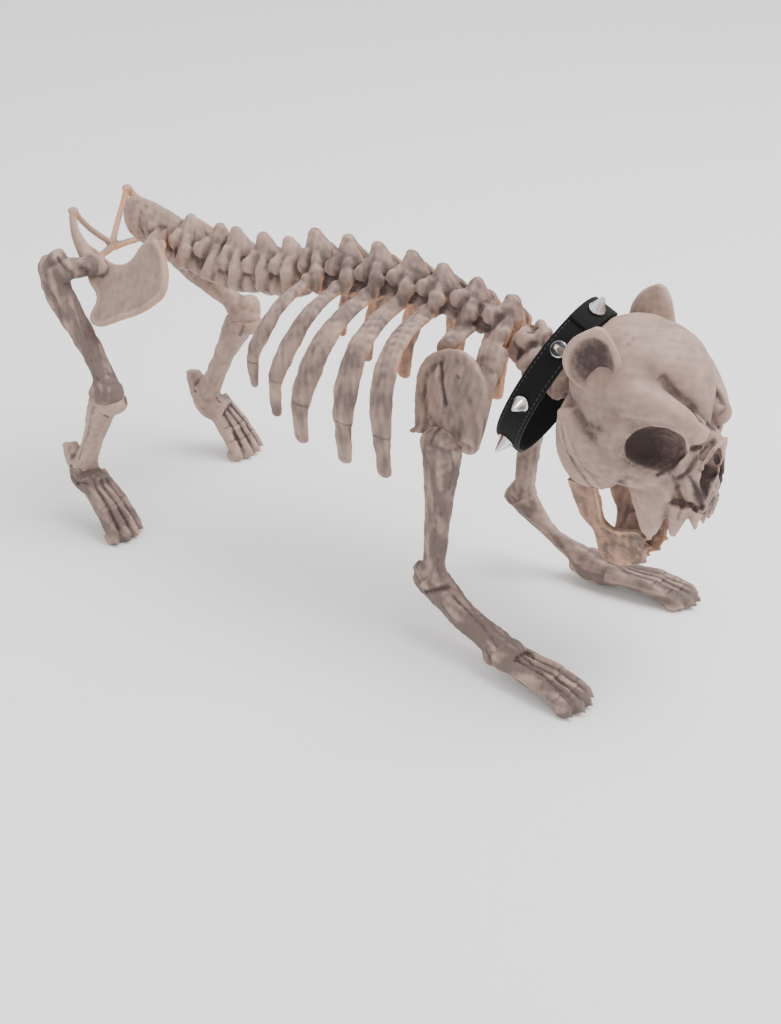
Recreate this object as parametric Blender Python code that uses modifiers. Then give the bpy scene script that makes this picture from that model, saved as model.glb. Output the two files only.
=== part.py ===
"""Plastic dog skeleton prop: a bulldog that stands with its jaw open and wears a studded collar.

Every node is fused from a few bones, balls and teeth, softened into one moulded form, and then
trimmed with flat cuts, so that neighbours meet face to face with a thin gap.
Metres, +Z up, +X towards the nose, +Y to the dog's left. The soles stand on z = 0.
"""
import math

import bmesh
import bpy
import numpy as np
from mathutils import Matrix, Vector

# Overall layout; the shift brings the middle of the finished prop over the origin
GAP = 0.0003
FRAME_SHIFT = (-0.0229, -0.0001, 0.0)
SPINE_X = (-0.150, -0.115, -0.090, -0.050, -0.010, 0.035, 0.075, 0.105, 0.128, 0.150)
SPINE_Z = (0.186, 0.183, 0.178, 0.184, 0.194, 0.199, 0.197, 0.191, 0.181, 0.168)
CREST_X = (-0.140, -0.105, -0.062, -0.042, -0.019, 0.003, 0.045, 0.085, 0.106, 0.134)
CREST_Z = (0.208, 0.207, 0.208, 0.209, 0.220, 0.221, 0.221, 0.215, 0.211, 0.192)
VERTEBRA_STEP = 0.0213
FIRST_LUMBAR_X = -0.126
LUMBAR_COUNT = 5
THORACIC_COUNT = 7
NECK_COUNT = 2
CENTRUM_RADIUS = 0.0105
KNOB_RADIUS = 0.0042
LOIN_REAR_X = -0.137
CHEST_REAR_X = -0.0305
NECK_REAR_X = 0.1185
SKULL_REAR_X = 0.1610

# Rib cage: each rib leaves its vertebra, bows out and hangs down to a narrower end piece
RIB_BOW = ((0.16, 1.00), (0.50, 0.97), (0.79, 0.88), (0.96, 0.72), (1.03, 0.52), (1.04, 0.30), (1.0, 0.0))
RIB_ROOT_Z = 0.193
RIB_TIP_Y = (0.046, 0.048, 0.055, 0.058, 0.062)
RIB_TIP_Z = (0.132, 0.118, 0.110, 0.108, 0.110)
RIB_SWING = (-0.020, -0.023, -0.020, -0.007, 0.003)
RIB_WIDTH = (0.0058, 0.0068, 0.0086, 0.0088, 0.0086)
RIB_DEPTH = 0.0034
SHORT_RIB_X = 0.088

# Limbs: joint centres x y z of the right side and of the left side, which is a little more bent
SHOULDER = {"right": (0.096, -0.041, 0.133), "left": (0.109, 0.041, 0.129)}
ELBOW = {"right": (0.098, -0.053, 0.043), "left": (0.098, 0.051, 0.050)}
WRIST = {"right": (0.153, -0.062, 0.0160), "left": (0.141, 0.060, 0.0130)}
FORE_TOE = {"right": (0.212, -0.0665), "left": (0.214, 0.069)}
FOREARM_SAG = {"right": 0.0025, "left": 0.0050}
BLADE_X = {"right": 0.098, "left": 0.116}
BLADE_WIDTH = {"right": 1.0, "left": 0.60}
HIP = {"right": (-0.175, -0.046, 0.175), "left": (-0.172, 0.046, 0.172)}
KNEE = {"right": (-0.150, -0.062, 0.100), "left": (-0.135, 0.061, 0.115)}
HOCK = {"right": (-0.178, -0.060, 0.038), "left": (-0.171, 0.061, 0.046)}
HIND_TOE = {"right": (-0.132, -0.069), "left": (-0.139, 0.069)}

# Hip blades: how far they flare out, and where the thigh bones meet them
HIP_FLARE = math.radians(34)
HIP_CONTACT_Y = 0.0425
THIGH_CLEARANCE = 0.0018

# Head
SKULL_CENTRE = (0.195, 0.0, 0.1795)
SKULL_RADII = (0.036, 0.040, 0.0375)
JAW_TOP_Z = 0.1225

# Collar: an oval loop round the neck, leaning forward at the top
COLLAR_CENTRE = (0.146, 0.0, 0.168)
COLLAR_LEAN = math.radians(26)
COLLAR_HALF_HEIGHT = 0.051
COLLAR_HALF_WIDTH = 0.037
STRAP_WIDTH = 0.0165
STRAP_THICKNESS = 0.0020
COLLAR_CLEARANCE = 0.0012
STUD_COUNT = 7
STUD_RADIUS = 0.0050
STUD_HEIGHT = 0.0095
STUD_STEP = math.radians(45)
STUD_TURN = math.radians(2)

# Colour, roughness and metallic value of each finish
BONE = ((0.46, 0.36, 0.31), 0.55, 0.0)
WEBBING = ((0.012, 0.012, 0.013), 0.85, 0.0)
CHROME = ((0.62, 0.62, 0.62), 0.22, 1.0)


def spine_z(x):
    """Height of the middle of the backbone."""
    return float(np.interp(x, SPINE_X, SPINE_Z))


def crest_z(x):
    """Height of the tips of the spinous processes."""
    return float(np.interp(x, CREST_X, CREST_Z))


def smooth_path(points, steps=4):
    """Catmull-Rom points through the given ones, in any number of dimensions."""
    p = np.array(points, float)
    if len(p) < 3:
        t = np.linspace(0, 1, steps + 1)[:, None]
        return p[0] * (1 - t) + p[-1] * t
    p = np.vstack([2 * p[0] - p[1], p, 2 * p[-1] - p[-2]])
    out = []
    for a, b, c, d in zip(p[:-3], p[1:-2], p[2:-1], p[3:]):
        for t in np.arange(steps) / steps:
            square = t * t
            cube = square * t
            out.append(0.5 * (2 * b + (c - a) * t + (2 * a - 5 * b + 4 * c - d) * square
                              + (3 * b - a - 3 * c + d) * cube))
    out.append(p[-2])
    return np.array(out)


def mesh_object(name, fill):
    """New object whose mesh the given function fills through bmesh."""
    mesh = bpy.data.meshes.new(name)
    bm = bmesh.new()
    fill(bm)
    bmesh.ops.recalc_face_normals(bm, faces=bm.faces)
    bm.to_mesh(mesh)
    bm.free()
    item = bpy.data.objects.new(name, mesh)
    bpy.context.scene.collection.objects.link(item)
    return item


def bone(stations, across=(1, 0, 0), sides=10):
    """Loft of oval sections through stations of x, y, z, half width and half depth.

    The half width lies along the across direction and the half depth at right angles to it.
    """
    rows = smooth_path(stations)

    def fill(bm):
        rings = []
        tangents = np.gradient(rows[:, :3], axis=0)
        for row, tangent in zip(rows, tangents):
            along = Vector(tangent).normalized()
            wide = Vector(across)
            wide = (wide - along * wide.dot(along)).normalized()
            deep = along.cross(wide)
            centre = Vector(row[:3])
            ring = []
            for k in range(sides):
                turn = 2 * math.pi * k / sides
                offset = wide * (row[3] * math.cos(turn)) + deep * (row[4] * math.sin(turn))
                ring.append(bm.verts.new(centre + offset))
            rings.append(ring)
        for lower, upper in zip(rings, rings[1:]):
            for k in range(sides):
                bm.faces.new((lower[k], lower[(k + 1) % sides], upper[(k + 1) % sides], upper[k]))
        bm.faces.new(rings[0][::-1])
        bm.faces.new(rings[-1])

    return mesh_object("bone", fill)


def rod(points, radii):
    """Round bone through points, with one radius at each."""
    return bone([(*p, r, r) for p, r in zip(points, radii)], across=(0.31, 0.17, 0.93))


def ball(centre, radii, turn=0.0, axis="Y"):
    """Ellipsoid; radii is one number or three."""
    size = (radii,) * 3 if isinstance(radii, float) else radii
    place = Matrix.Translation(centre) @ Matrix.Rotation(turn, 4, axis) @ Matrix.Diagonal((*size, 1))

    def fill(bm):
        bmesh.ops.create_uvsphere(bm, u_segments=16, v_segments=10, radius=1, matrix=place)

    return mesh_object("ball", fill)


def tooth(root, tip, radius):
    """Cone from its root to its tip."""
    root = Vector(root)
    reach = Vector(tip) - root
    place = (Matrix.Translation(root + reach / 2) @ reach.to_track_quat("Z", "Y").to_matrix().to_4x4())

    def fill(bm):
        bmesh.ops.create_cone(bm, cap_ends=True, segments=8, radius1=radius, radius2=radius * 0.25,
                              depth=reach.length, matrix=place)

    return mesh_object("tooth", fill)


def plate(outline, thickness, place):
    """Flat plate from a closed smooth outline in its own plane, as a filled 2D curve."""
    curve = bpy.data.curves.new("plate", "CURVE")
    curve.dimensions = "2D"
    curve.fill_mode = "BOTH"
    curve.extrude = thickness / 2
    curve.resolution_u = 4
    spline = curve.splines.new("BEZIER")
    spline.bezier_points.add(len(outline) - 1)
    spline.use_cyclic_u = True
    for knot, (u, v) in zip(spline.bezier_points, outline):
        knot.co = (u, v, 0)
        knot.handle_left_type = "AUTO"
        knot.handle_right_type = "AUTO"
    flat = bpy.data.objects.new("plate", curve)
    bpy.context.scene.collection.objects.link(flat)
    flat.matrix_world = place
    return curve_to_mesh(flat)


def curve_to_mesh(item):
    """Closed mesh object in world space that replaces a curve object."""
    bpy.context.view_layer.update()
    graph = bpy.context.evaluated_depsgraph_get()
    mesh = bpy.data.meshes.new_from_object(item.evaluated_get(graph))
    mesh.transform(item.matrix_world)
    bm = bmesh.new()
    bm.from_mesh(mesh)
    bmesh.ops.remove_doubles(bm, verts=bm.verts, dist=0.00001)
    bmesh.ops.recalc_face_normals(bm, faces=bm.faces)
    bm.to_mesh(mesh)
    bm.free()
    result = bpy.data.objects.new(item.name, mesh)
    bpy.context.scene.collection.objects.link(result)
    bpy.data.objects.remove(item)
    return result


def apply_modifiers(item):
    """Replace the object's mesh with its evaluated mesh."""
    bpy.context.view_layer.update()
    graph = bpy.context.evaluated_depsgraph_get()
    mesh = bpy.data.meshes.new_from_object(item.evaluated_get(graph))
    item.modifiers.clear()
    item.data = mesh


def largest_shell(item):
    """Keep only the closed surface with the most faces, as triangles."""
    bm = bmesh.new()
    bm.from_mesh(item.data)
    bmesh.ops.remove_doubles(bm, verts=bm.verts, dist=0.00001)
    bmesh.ops.triangulate(bm, faces=bm.faces)
    unseen = set(bm.verts)
    shells = []
    while unseen:
        stack = [unseen.pop()]
        shell = set(stack)
        while stack:
            for edge in stack.pop().link_edges:
                for vert in edge.verts:
                    if vert in unseen:
                        unseen.discard(vert)
                        shell.add(vert)
                        stack.append(vert)
        shells.append(shell)
    keep = max(shells, key=len)
    bmesh.ops.delete(bm, geom=[v for v in bm.verts if v not in keep], context="VERTS")
    bm.to_mesh(item.data)
    bm.free()


def combine(item, others, operation):
    """Boolean of an object with a list of objects, which are removed afterwards."""
    if not others:
        return
    group = bpy.data.collections.new("operands")
    bpy.context.scene.collection.children.link(group)
    for other in others:
        group.objects.link(other)
    change = item.modifiers.new("combine", "BOOLEAN")
    change.operation = operation
    change.operand_type = "COLLECTION"
    change.collection = group
    change.solver = "MANIFOLD"
    apply_modifiers(item)
    for other in others:
        bpy.data.objects.remove(other)
    bpy.data.collections.remove(group)


def half_space(point, normal, reach=0.04):
    """Box that removes what lies beyond a plane, half a gap back from it."""
    normal = Vector(normal).normalized()
    middle = Vector(point) + normal * (reach / 2 - GAP / 2)
    place = Matrix.Translation(middle) @ normal.to_track_quat("Z", "Y").to_matrix().to_4x4()

    def fill(bm):
        bmesh.ops.create_cube(bm, size=reach, matrix=place)

    return mesh_object("cut", fill)


def finish(item, name, look):
    """Name a finished node and give it its material."""
    colour, roughness, metallic = look
    item.name = name
    item.data.name = name
    corners = np.array([vert.co for vert in item.data.vertices])
    middle = Vector((corners.min(axis=0) + corners.max(axis=0)) / 2)
    item.data.transform(Matrix.Translation(-middle))
    item.location = middle
    item.parent = STAND
    material = bpy.data.materials.new(name)
    material.use_nodes = True
    shader = material.node_tree.nodes["Principled BSDF"]
    shader.inputs["Base Color"].default_value = (*colour, 1)
    shader.inputs["Roughness"].default_value = roughness
    shader.inputs["Metallic"].default_value = metallic
    item.data.materials.clear()
    item.data.materials.append(material)
    PARTS.objects.link(item)
    bpy.context.scene.collection.objects.unlink(item)
    return item


def mould(name, pieces, faces, voxel=0.0016, carve=(), cuts=()):
    """Fuse pieces into one softened body of about the given face count, then trim it flat."""
    body, *others = pieces
    combine(body, others, "UNION")
    combine(body, list(carve), "DIFFERENCE")
    remesh = body.modifiers.new("remesh", "REMESH")
    remesh.mode = "VOXEL"
    remesh.voxel_size = voxel
    soften = body.modifiers.new("soften", "SMOOTH")
    soften.factor = 0.5
    soften.iterations = 3
    apply_modifiers(body)
    reduce = body.modifiers.new("reduce", "DECIMATE")
    body.data.calc_loop_triangles()
    reduce.ratio = min(1.0, faces / len(body.data.loop_triangles))
    reduce.use_collapse_triangulate = True
    apply_modifiers(body)
    largest_shell(body)
    for cut in cuts:
        combine(body, [cut], "DIFFERENCE")
    largest_shell(body)
    return finish(body, name, BONE)


def vertebra(x, crest):
    """Spool, arch, spinous process and side knobs of one vertebra."""
    z = spine_z(x)
    slope = (spine_z(x + 0.005) - spine_z(x - 0.005)) / 0.010
    reach = VERTEBRA_STEP / 2 + 0.001
    r = CENTRUM_RADIUS

    def at(dx, dz):
        return (x + dx - dz * slope, z + dz + dx * slope)

    spool = []
    for dx, grow in ((-reach, 1.0), (-0.005, 0.80), (0.005, 0.80), (reach, 1.0)):
        px, pz = at(dx, 0)
        spool.append((px, 0, pz, r * grow * 0.9, r * grow))
    pieces = [bone(spool, across=(0, 1, 0))]
    tall = crest - z
    blade = []
    for height, long_half, thick_half in ((0.15, 0.0100, 0.0095), (0.50, 0.0082, 0.0070),
                                          (0.80, 0.0055, 0.0045), (0.97, 0.0034, 0.0030)):
        px, pz = at(0.004 - 0.003 * height, tall * height)
        blade.append((px, 0, pz, long_half, thick_half))
    pieces.append(bone(blade))
    for side in (-1, 1):
        for dx, dy, dz, grow in ((0.0065, 0.0125, 0.0035, 1.0), (-0.0060, 0.0105, 0.0075, 0.85)):
            px, pz = at(dx, dz)
            pieces.append(ball((px, side * dy, pz), KNOB_RADIUS * grow))
            pieces.append(rod([(px, 0, pz), (px, side * dy, pz)], [0.0045, 0.0035]))
    return pieces


def backbone(first, count):
    """Pieces of a run of vertebrae, counted from the first lumbar one."""
    pieces = []
    for k in range(first, first + count):
        x = FIRST_LUMBAR_X + VERTEBRA_STEP * k
        pieces += vertebra(x, crest_z(x))
    return pieces


def rib(k, side):
    """One rib with its stepped end piece."""
    root_x = FIRST_LUMBAR_X + VERTEBRA_STEP * (LUMBAR_COUNT + k)
    stations = []
    for out, drop in RIB_BOW:
        x = root_x + RIB_SWING[k] * min(1.0, 1.35 * (1 - drop))
        z = RIB_TIP_Z[k] + (RIB_ROOT_Z - RIB_TIP_Z[k]) * drop
        swell = 0.78 + 0.22 * math.sin(math.pi * min(1.0, 1.25 * (1 - drop)))
        stations.append((x, side * RIB_TIP_Y[k] * out, z, RIB_WIDTH[k] * swell, RIB_DEPTH))
    end = stations[-1]
    stations[-1] = (end[0], end[1], end[2], RIB_WIDTH[k] * 0.62, RIB_DEPTH * 0.75)
    return bone(stations)


def chest(side):
    """One side of the rib cage: half of the thoracic vertebrae with the ribs that grow on them."""
    pieces = backbone(LUMBAR_COUNT, THORACIC_COUNT)
    for k in range(len(RIB_TIP_Y)):
        pieces.append(rib(k, side))
    pieces.append(bone([(SHORT_RIB_X + 0.004, side * 0.010, 0.191, 0.007, 0.004),
                        (SHORT_RIB_X + 0.001, side * 0.022, 0.185, 0.007, 0.004),
                        (SHORT_RIB_X - 0.003, side * 0.0295, 0.175, 0.006, 0.004),
                        (SHORT_RIB_X - 0.005, side * 0.0315, 0.166, 0.004, 0.003)]))
    pieces.append(bone([(0.111, side * 0.008, 0.188, 0.009, 0.005),
                        (0.114, side * 0.018, 0.182, 0.010, 0.005),
                        (0.115, side * 0.024, 0.174, 0.010, 0.004),
                        (0.115, side * 0.029, 0.164, 0.009, 0.004)]))
    return pieces


def build_chest():
    for side, name in ((-1, "chest_right"), (1, "chest_left")):
        body = chest(side)
        cuts = [half_space((0.045, 0, 0.190), (0, -side, 0), 0.30),
                half_space((CHEST_REAR_X, 0, 0.190), (-1, 0, 0), 0.06),
                half_space((NECK_REAR_X, 0, 0.185), (1, 0, -0.3), 0.035),
                half_space(shoulder_blade_contact(side), (0, side, 0), 0.05)]
        mould(name, body, 1800, cuts=cuts)


def shoulder_blade_contact(side):
    """Where the first rib meets the inside of the shoulder blade."""
    return (0.105, side * 0.0265, 0.176)


def build_loin():
    cuts = [half_space((LOIN_REAR_X, 0, 0.19), (-1, 0, 0), 0.06),
            half_space((CHEST_REAR_X, 0, 0.19), (1, 0, 0), 0.06)]
    mould("loin", backbone(0, LUMBAR_COUNT), 1100, cuts=cuts)


def build_neck():
    cuts = [half_space((NECK_REAR_X, 0, 0.185), (-1, 0, 0.3), 0.05),
            half_space((SKULL_REAR_X, 0, 0.17), (1, 0, 0), 0.05)]
    pieces = backbone(LUMBAR_COUNT + THORACIC_COUNT, NECK_COUNT)
    pieces.append(rod([(0.118, 0, 0.184), (0.140, 0, 0.174), (0.166, 0, 0.168)], [0.011, 0.012, 0.013]))
    mould("neck", pieces, 380, cuts=cuts)


def build_sacrum():
    """Sacrum, the stump of the tail and the side bosses that carry the hip bones."""
    pieces = [bone([(-0.130, 0, 0.189, 0.010, 0.013), (-0.150, 0, 0.193, 0.009, 0.015),
                    (-0.166, 0, 0.197, 0.007, 0.016), (-0.179, 0, 0.199, 0.004, 0.011)], across=(0, 1, 0)),
              ball((-0.167, 0, 0.203), (0.006, 0.004, 0.008)),
              ball((-0.146, 0, 0.200), (0.006, 0.005, 0.006)),
              rod([(-0.142, -0.026, 0.189), (-0.142, 0.026, 0.189)], [0.0075, 0.0075])]
    cuts = [half_space((LOIN_REAR_X, 0, 0.19), (1, 0, 0), 0.06),
            half_space((-0.142, -0.019, 0.189), (0, -1, 0), 0.03),
            half_space((-0.142, 0.019, 0.189), (0, 1, 0), 0.03)]
    mould("sacrum", pieces, 340, cuts=cuts)


def hip_plate_place(side):
    """Frame of the flat hip blade, which flares out towards its lower edge."""
    return (Matrix.Translation((-0.150, side * 0.037, 0.170)) @ Matrix.Rotation(HIP_FLARE * side, 4, "X")
            @ Matrix.Rotation(math.radians(90), 4, "X"))


HIP_OUTLINE = ((0.014, 0.031), (0.027, 0.019), (0.034, 0.000), (0.023, -0.015), (0.007, -0.025),
               (-0.008, -0.033),
               (-0.016, -0.029), (-0.0155, -0.016), (-0.027, -0.006), (-0.041, 0.007), (-0.045, 0.015),
               (-0.030, 0.014),
               (-0.016, 0.009), (-0.001, 0.011), (0.005, 0.024))


def build_hips():
    for side, tag in ((-1, "right"), (1, "left")):
        hip = HIP[tag]
        tip = (-0.201, side * 0.026, 0.2025)
        seat = (-0.186, side * 0.036, 0.183)
        pieces = [plate(HIP_OUTLINE, 0.0045, hip_plate_place(side)),
                  rod([seat, (-0.197, side * 0.032, 0.193), tip], [0.0050, 0.0026, 0.0026]),
                  rod([tip, (-0.199, side * 0.014, 0.187), (-0.194, 0, 0.173)], [0.0026, 0.0022, 0.0026]),
                  rod([(-0.176, side * 0.040, 0.178), (-0.186, side * 0.020, 0.173), (-0.194, 0, 0.171)],
                      [0.0045, 0.0026, 0.0030]),
                  rod([(-0.142, side * 0.014, 0.189), (-0.142, side * 0.031, 0.189)], [0.006, 0.006]),
                  ball((hip[0], side * 0.040, hip[2]), (0.010, 0.006, 0.010))]
        cuts = [half_space((-0.190, 0, 0.172), (0, -side, 0), 0.03),
                half_space((-0.142, side * 0.019, 0.189), (0, -side, 0), 0.03),
                half_space((hip[0], side * HIP_CONTACT_Y, hip[2]), (0, side, 0), 0.026)]
        mould("hip_bone_" + tag, pieces, 560, voxel=0.0012, carve=[thigh_shaft(side, tag, THIGH_CLEARANCE)],
              cuts=cuts)


BLADE_OUTLINE = ((-0.006, 0.026), (-0.018, 0.020), (-0.024, 0.009), (-0.025, -0.002), (-0.024, -0.013),
                 (-0.020, -0.028),
                 (-0.006, -0.026), (0.004, -0.027), (0.012, -0.032), (0.019, -0.032), (0.023, -0.024),
                 (0.024, -0.008),
                 (0.022, 0.010), (0.014, 0.021), (0.004, 0.027))


def build_fore_limb(side, tag):
    s = Vector(SHOULDER[tag])
    e = Vector(ELBOW[tag])
    w = Vector(WRIST[tag])
    top = s.z + 0.0025
    width = BLADE_WIDTH[tag]
    blade_place = (Matrix.Translation((BLADE_X[tag], side * 0.0355, s.z + 0.025))
                   @ Matrix.Rotation(math.radians(90 + 11 * side), 4, "X"))
    pieces = [plate([(u * width, v) for u, v in BLADE_OUTLINE], 0.0055, blade_place),
              bone([(0.115, side * 0.022, 0.176, 0.008, 0.004), (0.115, side * 0.030, 0.166, 0.009, 0.004),
                    (0.114, side * 0.036, s.z + 0.018, 0.009, 0.005),
                    (0.113, side * 0.040, s.z, 0.007, 0.005)])]
    cuts = [half_space(shoulder_blade_contact(side), (0, -side, 0), 0.05),
            half_space((s.x - 0.003, s.y, top), (0, 0, -1), 0.034), strap(COLLAR_CLEARANCE)]
    mould("shoulder_blade_" + tag, pieces, 280, cuts=cuts)

    pieces = [rod([s, s.lerp(e, 0.12), s.lerp(e, 0.5), s.lerp(e, 0.86), e],
                  [0.0120, 0.0120, 0.0082, 0.0085, 0.0085]),
              ball(s + Vector((-0.001, side * 0.001, -0.007)), (0.0135, 0.0115, 0.0125)),
              ball(e + Vector((-0.004, 0, 0.007)), (0.009, 0.009, 0.009))]
    cuts = [half_space((s.x, s.y, top), (0, 0, 1), 0.034), half_space(e, e - s, 0.03)]
    mould("humerus_" + tag, pieces, 260, cuts=cuts)

    middle = e.lerp(w, 0.48) + Vector((0, 0, -FOREARM_SAG[tag]))
    pieces = [rod([e + Vector((-0.001, 0, 0.004)), e.lerp(w, 0.2) + Vector((0, 0, -0.002)), middle, w],
                  [0.0095, 0.0095, 0.0088, 0.0108]),
              rod([e + Vector((-0.010, 0, 0.003)), e + Vector((-0.004, 0, -0.006)),
                   middle + Vector((-0.004, 0, -0.004)), e.lerp(w, 0.8) + Vector((0, 0, -0.004))],
                  [0.0055, 0.0065, 0.0060, 0.0055])]
    cuts = [half_space(e, s - e, 0.03), half_space(w, (1, 0, 0), 0.03)]
    mould("forearm_" + tag, pieces, 280, cuts=cuts)
    paw("fore_paw_" + tag, w, side, *FORE_TOE[tag], 0.0120)


def paw(name, root, side, toe_x, toe_y, spread):
    """Foot with four toes in a row, standing on flat soles."""
    pad = Vector((root.x + 0.020, root.y, 0.006))
    pieces = [ball(root + Vector((0.006, 0, -0.001)),
                   (0.013, 0.012, 0.0115)), ball(pad, (0.013, 0.011, 0.0085))]
    for k in range(4):
        offset = (k - 1.5) / 1.5
        length = 1.0 - 0.10 * abs(offset)
        tip = Vector((root.x + (toe_x - root.x) * length, toe_y + offset * spread, 0.0040))
        knuckle = Vector((root.x, root.y + offset * spread * 0.5, root.z)).lerp(tip, 0.62)
        knuckle += Vector((0, 0, 0.0035))
        start = Vector((root.x + 0.004, root.y + offset * spread * 0.45, root.z - 0.001))
        pieces.append(rod([start, knuckle, tip], [0.0055, 0.0050, 0.0046]))
        pieces.append(ball(knuckle, (0.0056, 0.0050, 0.0056)))
        pieces.append(ball(tip, (0.0064, 0.0048, 0.0056)))
    cuts = [half_space(root, (-1, 0, 0), 0.03), half_space((root.x + 0.03, root.y, -GAP / 2),
                                                           (0, 0, -1), 0.14)]
    mould(name, pieces, 430, voxel=0.0013, cuts=cuts)


def thigh_shaft(side, tag, swell):
    """Shaft of the thigh bone, made thicker by the swell when it clears a path for itself."""
    h = Vector(HIP[tag])
    k = Vector(KNEE[tag])
    path = [h + Vector((-0.020, side * 0.006, -0.002)), h + Vector((-0.018, side * 0.008, -0.016)),
            h.lerp(k, 0.5) + Vector((-0.0145, 0, -0.004)), h.lerp(k, 0.83), k]
    return rod(path, [r + swell for r in (0.0105, 0.0100, 0.0088, 0.0115, 0.0125)])


def build_hind_limb(side, tag):
    h = Vector(HIP[tag])
    k = Vector(KNEE[tag])
    a = Vector(HOCK[tag])
    out = Vector((0, side, 0))
    pieces = [thigh_shaft(side, tag, 0.0),
              rod([h, h + Vector((-0.018, side * 0.006, -0.004))], [0.0085, 0.0100]),
              ball(h + Vector((-0.024, side * 0.006, 0.003)), (0.009, 0.008, 0.009))]
    cuts = [half_space((h.x, side * HIP_CONTACT_Y, h.z), -out, 0.026), half_space(k, k - h, 0.034)]
    mould("femur_" + tag, pieces, 280, cuts=cuts)

    pieces = [rod([k + Vector((0.001, 0, 0.003)), k.lerp(a, 0.15), k.lerp(a, 0.55), k.lerp(a, 0.9), a],
                  [0.0125, 0.0115, 0.0085, 0.0085, 0.0100]),
              rod([a + Vector((0.002, 0, 0.008)), a + Vector((-0.018, 0, 0.011))], [0.0070, 0.0055])]
    cuts = [half_space(k, h - k, 0.034), half_space(a, (0.25, 0, -1), 0.04)]
    mould("shin_" + tag, pieces, 260, cuts=cuts)

    toe_x, toe_y = HIND_TOE[tag]
    mid = a.lerp(Vector((toe_x, toe_y, 0.008)), 0.4) + Vector((0, 0, 0.001))
    pieces = [rod([a + Vector((-0.001, 0, 0.003)), a + Vector((0.001, 0, -0.008)), mid],
                  [0.0100, 0.0110, 0.0105])]
    for n in range(4):
        offset = (n - 1.5) / 1.5
        tip = Vector((toe_x - 0.005 * abs(offset), toe_y + offset * 0.0115, 0.0040))
        start = mid + Vector((-0.010, offset * 0.006, 0.006))
        knuckle = start.lerp(tip, 0.62) + Vector((0, 0, 0.003))
        pieces.append(rod([start, knuckle, tip], [0.0055, 0.0050, 0.0046]))
        pieces.append(ball(tip, (0.0064, 0.0048, 0.0056)))
    cuts = [half_space(a, (-0.25, 0, 1), 0.04), half_space((mid.x, a.y, -GAP / 2), (0, 0, -1), 0.12)]
    mould("hind_foot_" + tag, pieces, 430, voxel=0.0013, cuts=cuts)


def build_skull():
    pieces = [ball(SKULL_CENTRE, SKULL_RADII),
              bone([(0.202, 0, 0.203, 0.028, 0.012), (0.218, 0, 0.198, 0.023, 0.015),
                    (0.2270, 0, 0.187, 0.0170, 0.0150),
                    (0.2295, 0, 0.174, 0.0115, 0.0135),
                    (0.2295, 0, 0.163, 0.0085, 0.0120)], across=(0, 1, 0)),
              bone([(0.200, 0, 0.145, 0.0270, 0.0290), (0.222, 0, 0.140, 0.0235, 0.0280),
                    (0.238, 0, 0.1360, 0.0205, 0.0250),
                    (0.2465, 0, 0.1345, 0.0170, 0.0225),
                    (0.2500, 0, 0.1340, 0.0120, 0.0175)], across=(0, 1, 0)),
              bone([(0.2370, 0, 0.165, 0.0060, 0.0060), (0.2455, 0, 0.156, 0.0070, 0.0060),
                    (0.249, 0, 0.147, 0.008, 0.005)],
                   across=(0, 1, 0))]
    carve = []
    for side in (-1, 1):
        pieces += [bone([(0.194, side * 0.031, 0.187, 0.014, 0.013),
                         (0.212, side * 0.0285, 0.184, 0.0130, 0.0120),
                         (0.228, side * 0.0215, 0.176, 0.0108, 0.0100),
                         (0.2405, side * 0.0140, 0.1665, 0.0080, 0.0080)]),
                   ball((0.2405, side * 0.0140, 0.1665), 0.0084),
                   ball((0.184, side * 0.021, 0.150), (0.0245, 0.0185, 0.0335)),
                   ball((0.222, side * 0.019, 0.158), (0.0200, 0.0170, 0.0260)),
                   ball((0.197, side * 0.029, 0.170), (0.0240, 0.0120, 0.0220)),
                   bone([(0.173, side * 0.036, 0.172, 0.006, 0.007),
                         (0.180, side * 0.0385, 0.156, 0.009, 0.007),
                         (0.196, side * 0.0370, 0.147, 0.011, 0.008),
                         (0.212, side * 0.0315, 0.142, 0.011, 0.009),
                         (0.226, side * 0.0235, 0.139, 0.010, 0.008)], across=(0.5, 0, 0.85)),
                   bone([(0.219, side * 0.0215, 0.136, 0.0170, 0.0085),
                         (0.220, side * 0.0215, 0.122, 0.0150, 0.0075),
                         (0.2195, side * 0.0210, 0.109, 0.0095, 0.0060),
                         (0.219, side * 0.0205, 0.0985, 0.0030, 0.0030)]),
                   tooth((0.2355, side * 0.0165, 0.120), (0.2335, side * 0.0180, 0.1045), 0.0065)]
        for n in range(2):
            y = side * (0.0035 + 0.0065 * n)
            pieces.append(tooth((0.2440, y, 0.117), (0.2455, y, 0.1070), 0.0038))
        carve.append(bone([(0.2130, side * 0.0420, 0.1555, 0.0060, 0.0060),
                           (0.2180, side * 0.0385, 0.1580, 0.0150, 0.0120),
                           (0.2260, side * 0.0335, 0.1600, 0.0150, 0.0125),
                           (0.2370, side * 0.0260, 0.1595, 0.0060, 0.0070)],
                          across=(0, 1, 0)))
        carve.append(bone([(0.254, side * 0.0030, 0.154, 0.0045, 0.0022),
                           (0.253, side * 0.0060, 0.146, 0.0075, 0.0042),
                           (0.252, side * 0.0075, 0.135, 0.0070, 0.0055)]))
    cuts = [half_space((SKULL_REAR_X, 0, 0.17), (-1, 0, 0), 0.05)]
    for side in (-1, 1):
        cuts.append(half_space((0.183, side * 0.026, JAW_TOP_Z), (0, 0, -1), 0.030))
        cuts.append(ear_cut(side, True))
    cuts.append(strap(COLLAR_CLEARANCE))
    mould("skull", pieces, 2300, voxel=0.0016, carve=carve, cuts=cuts)


def ear_cut(side, skull):
    """Flat where an ear meets the head, removed from the skull or from the ear."""
    out = Vector((0, side, 0.75)).normalized()
    point = Vector((0.188, side * 0.0335, 0.1985))
    return half_space(point, out if skull else -out, 0.030)


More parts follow.
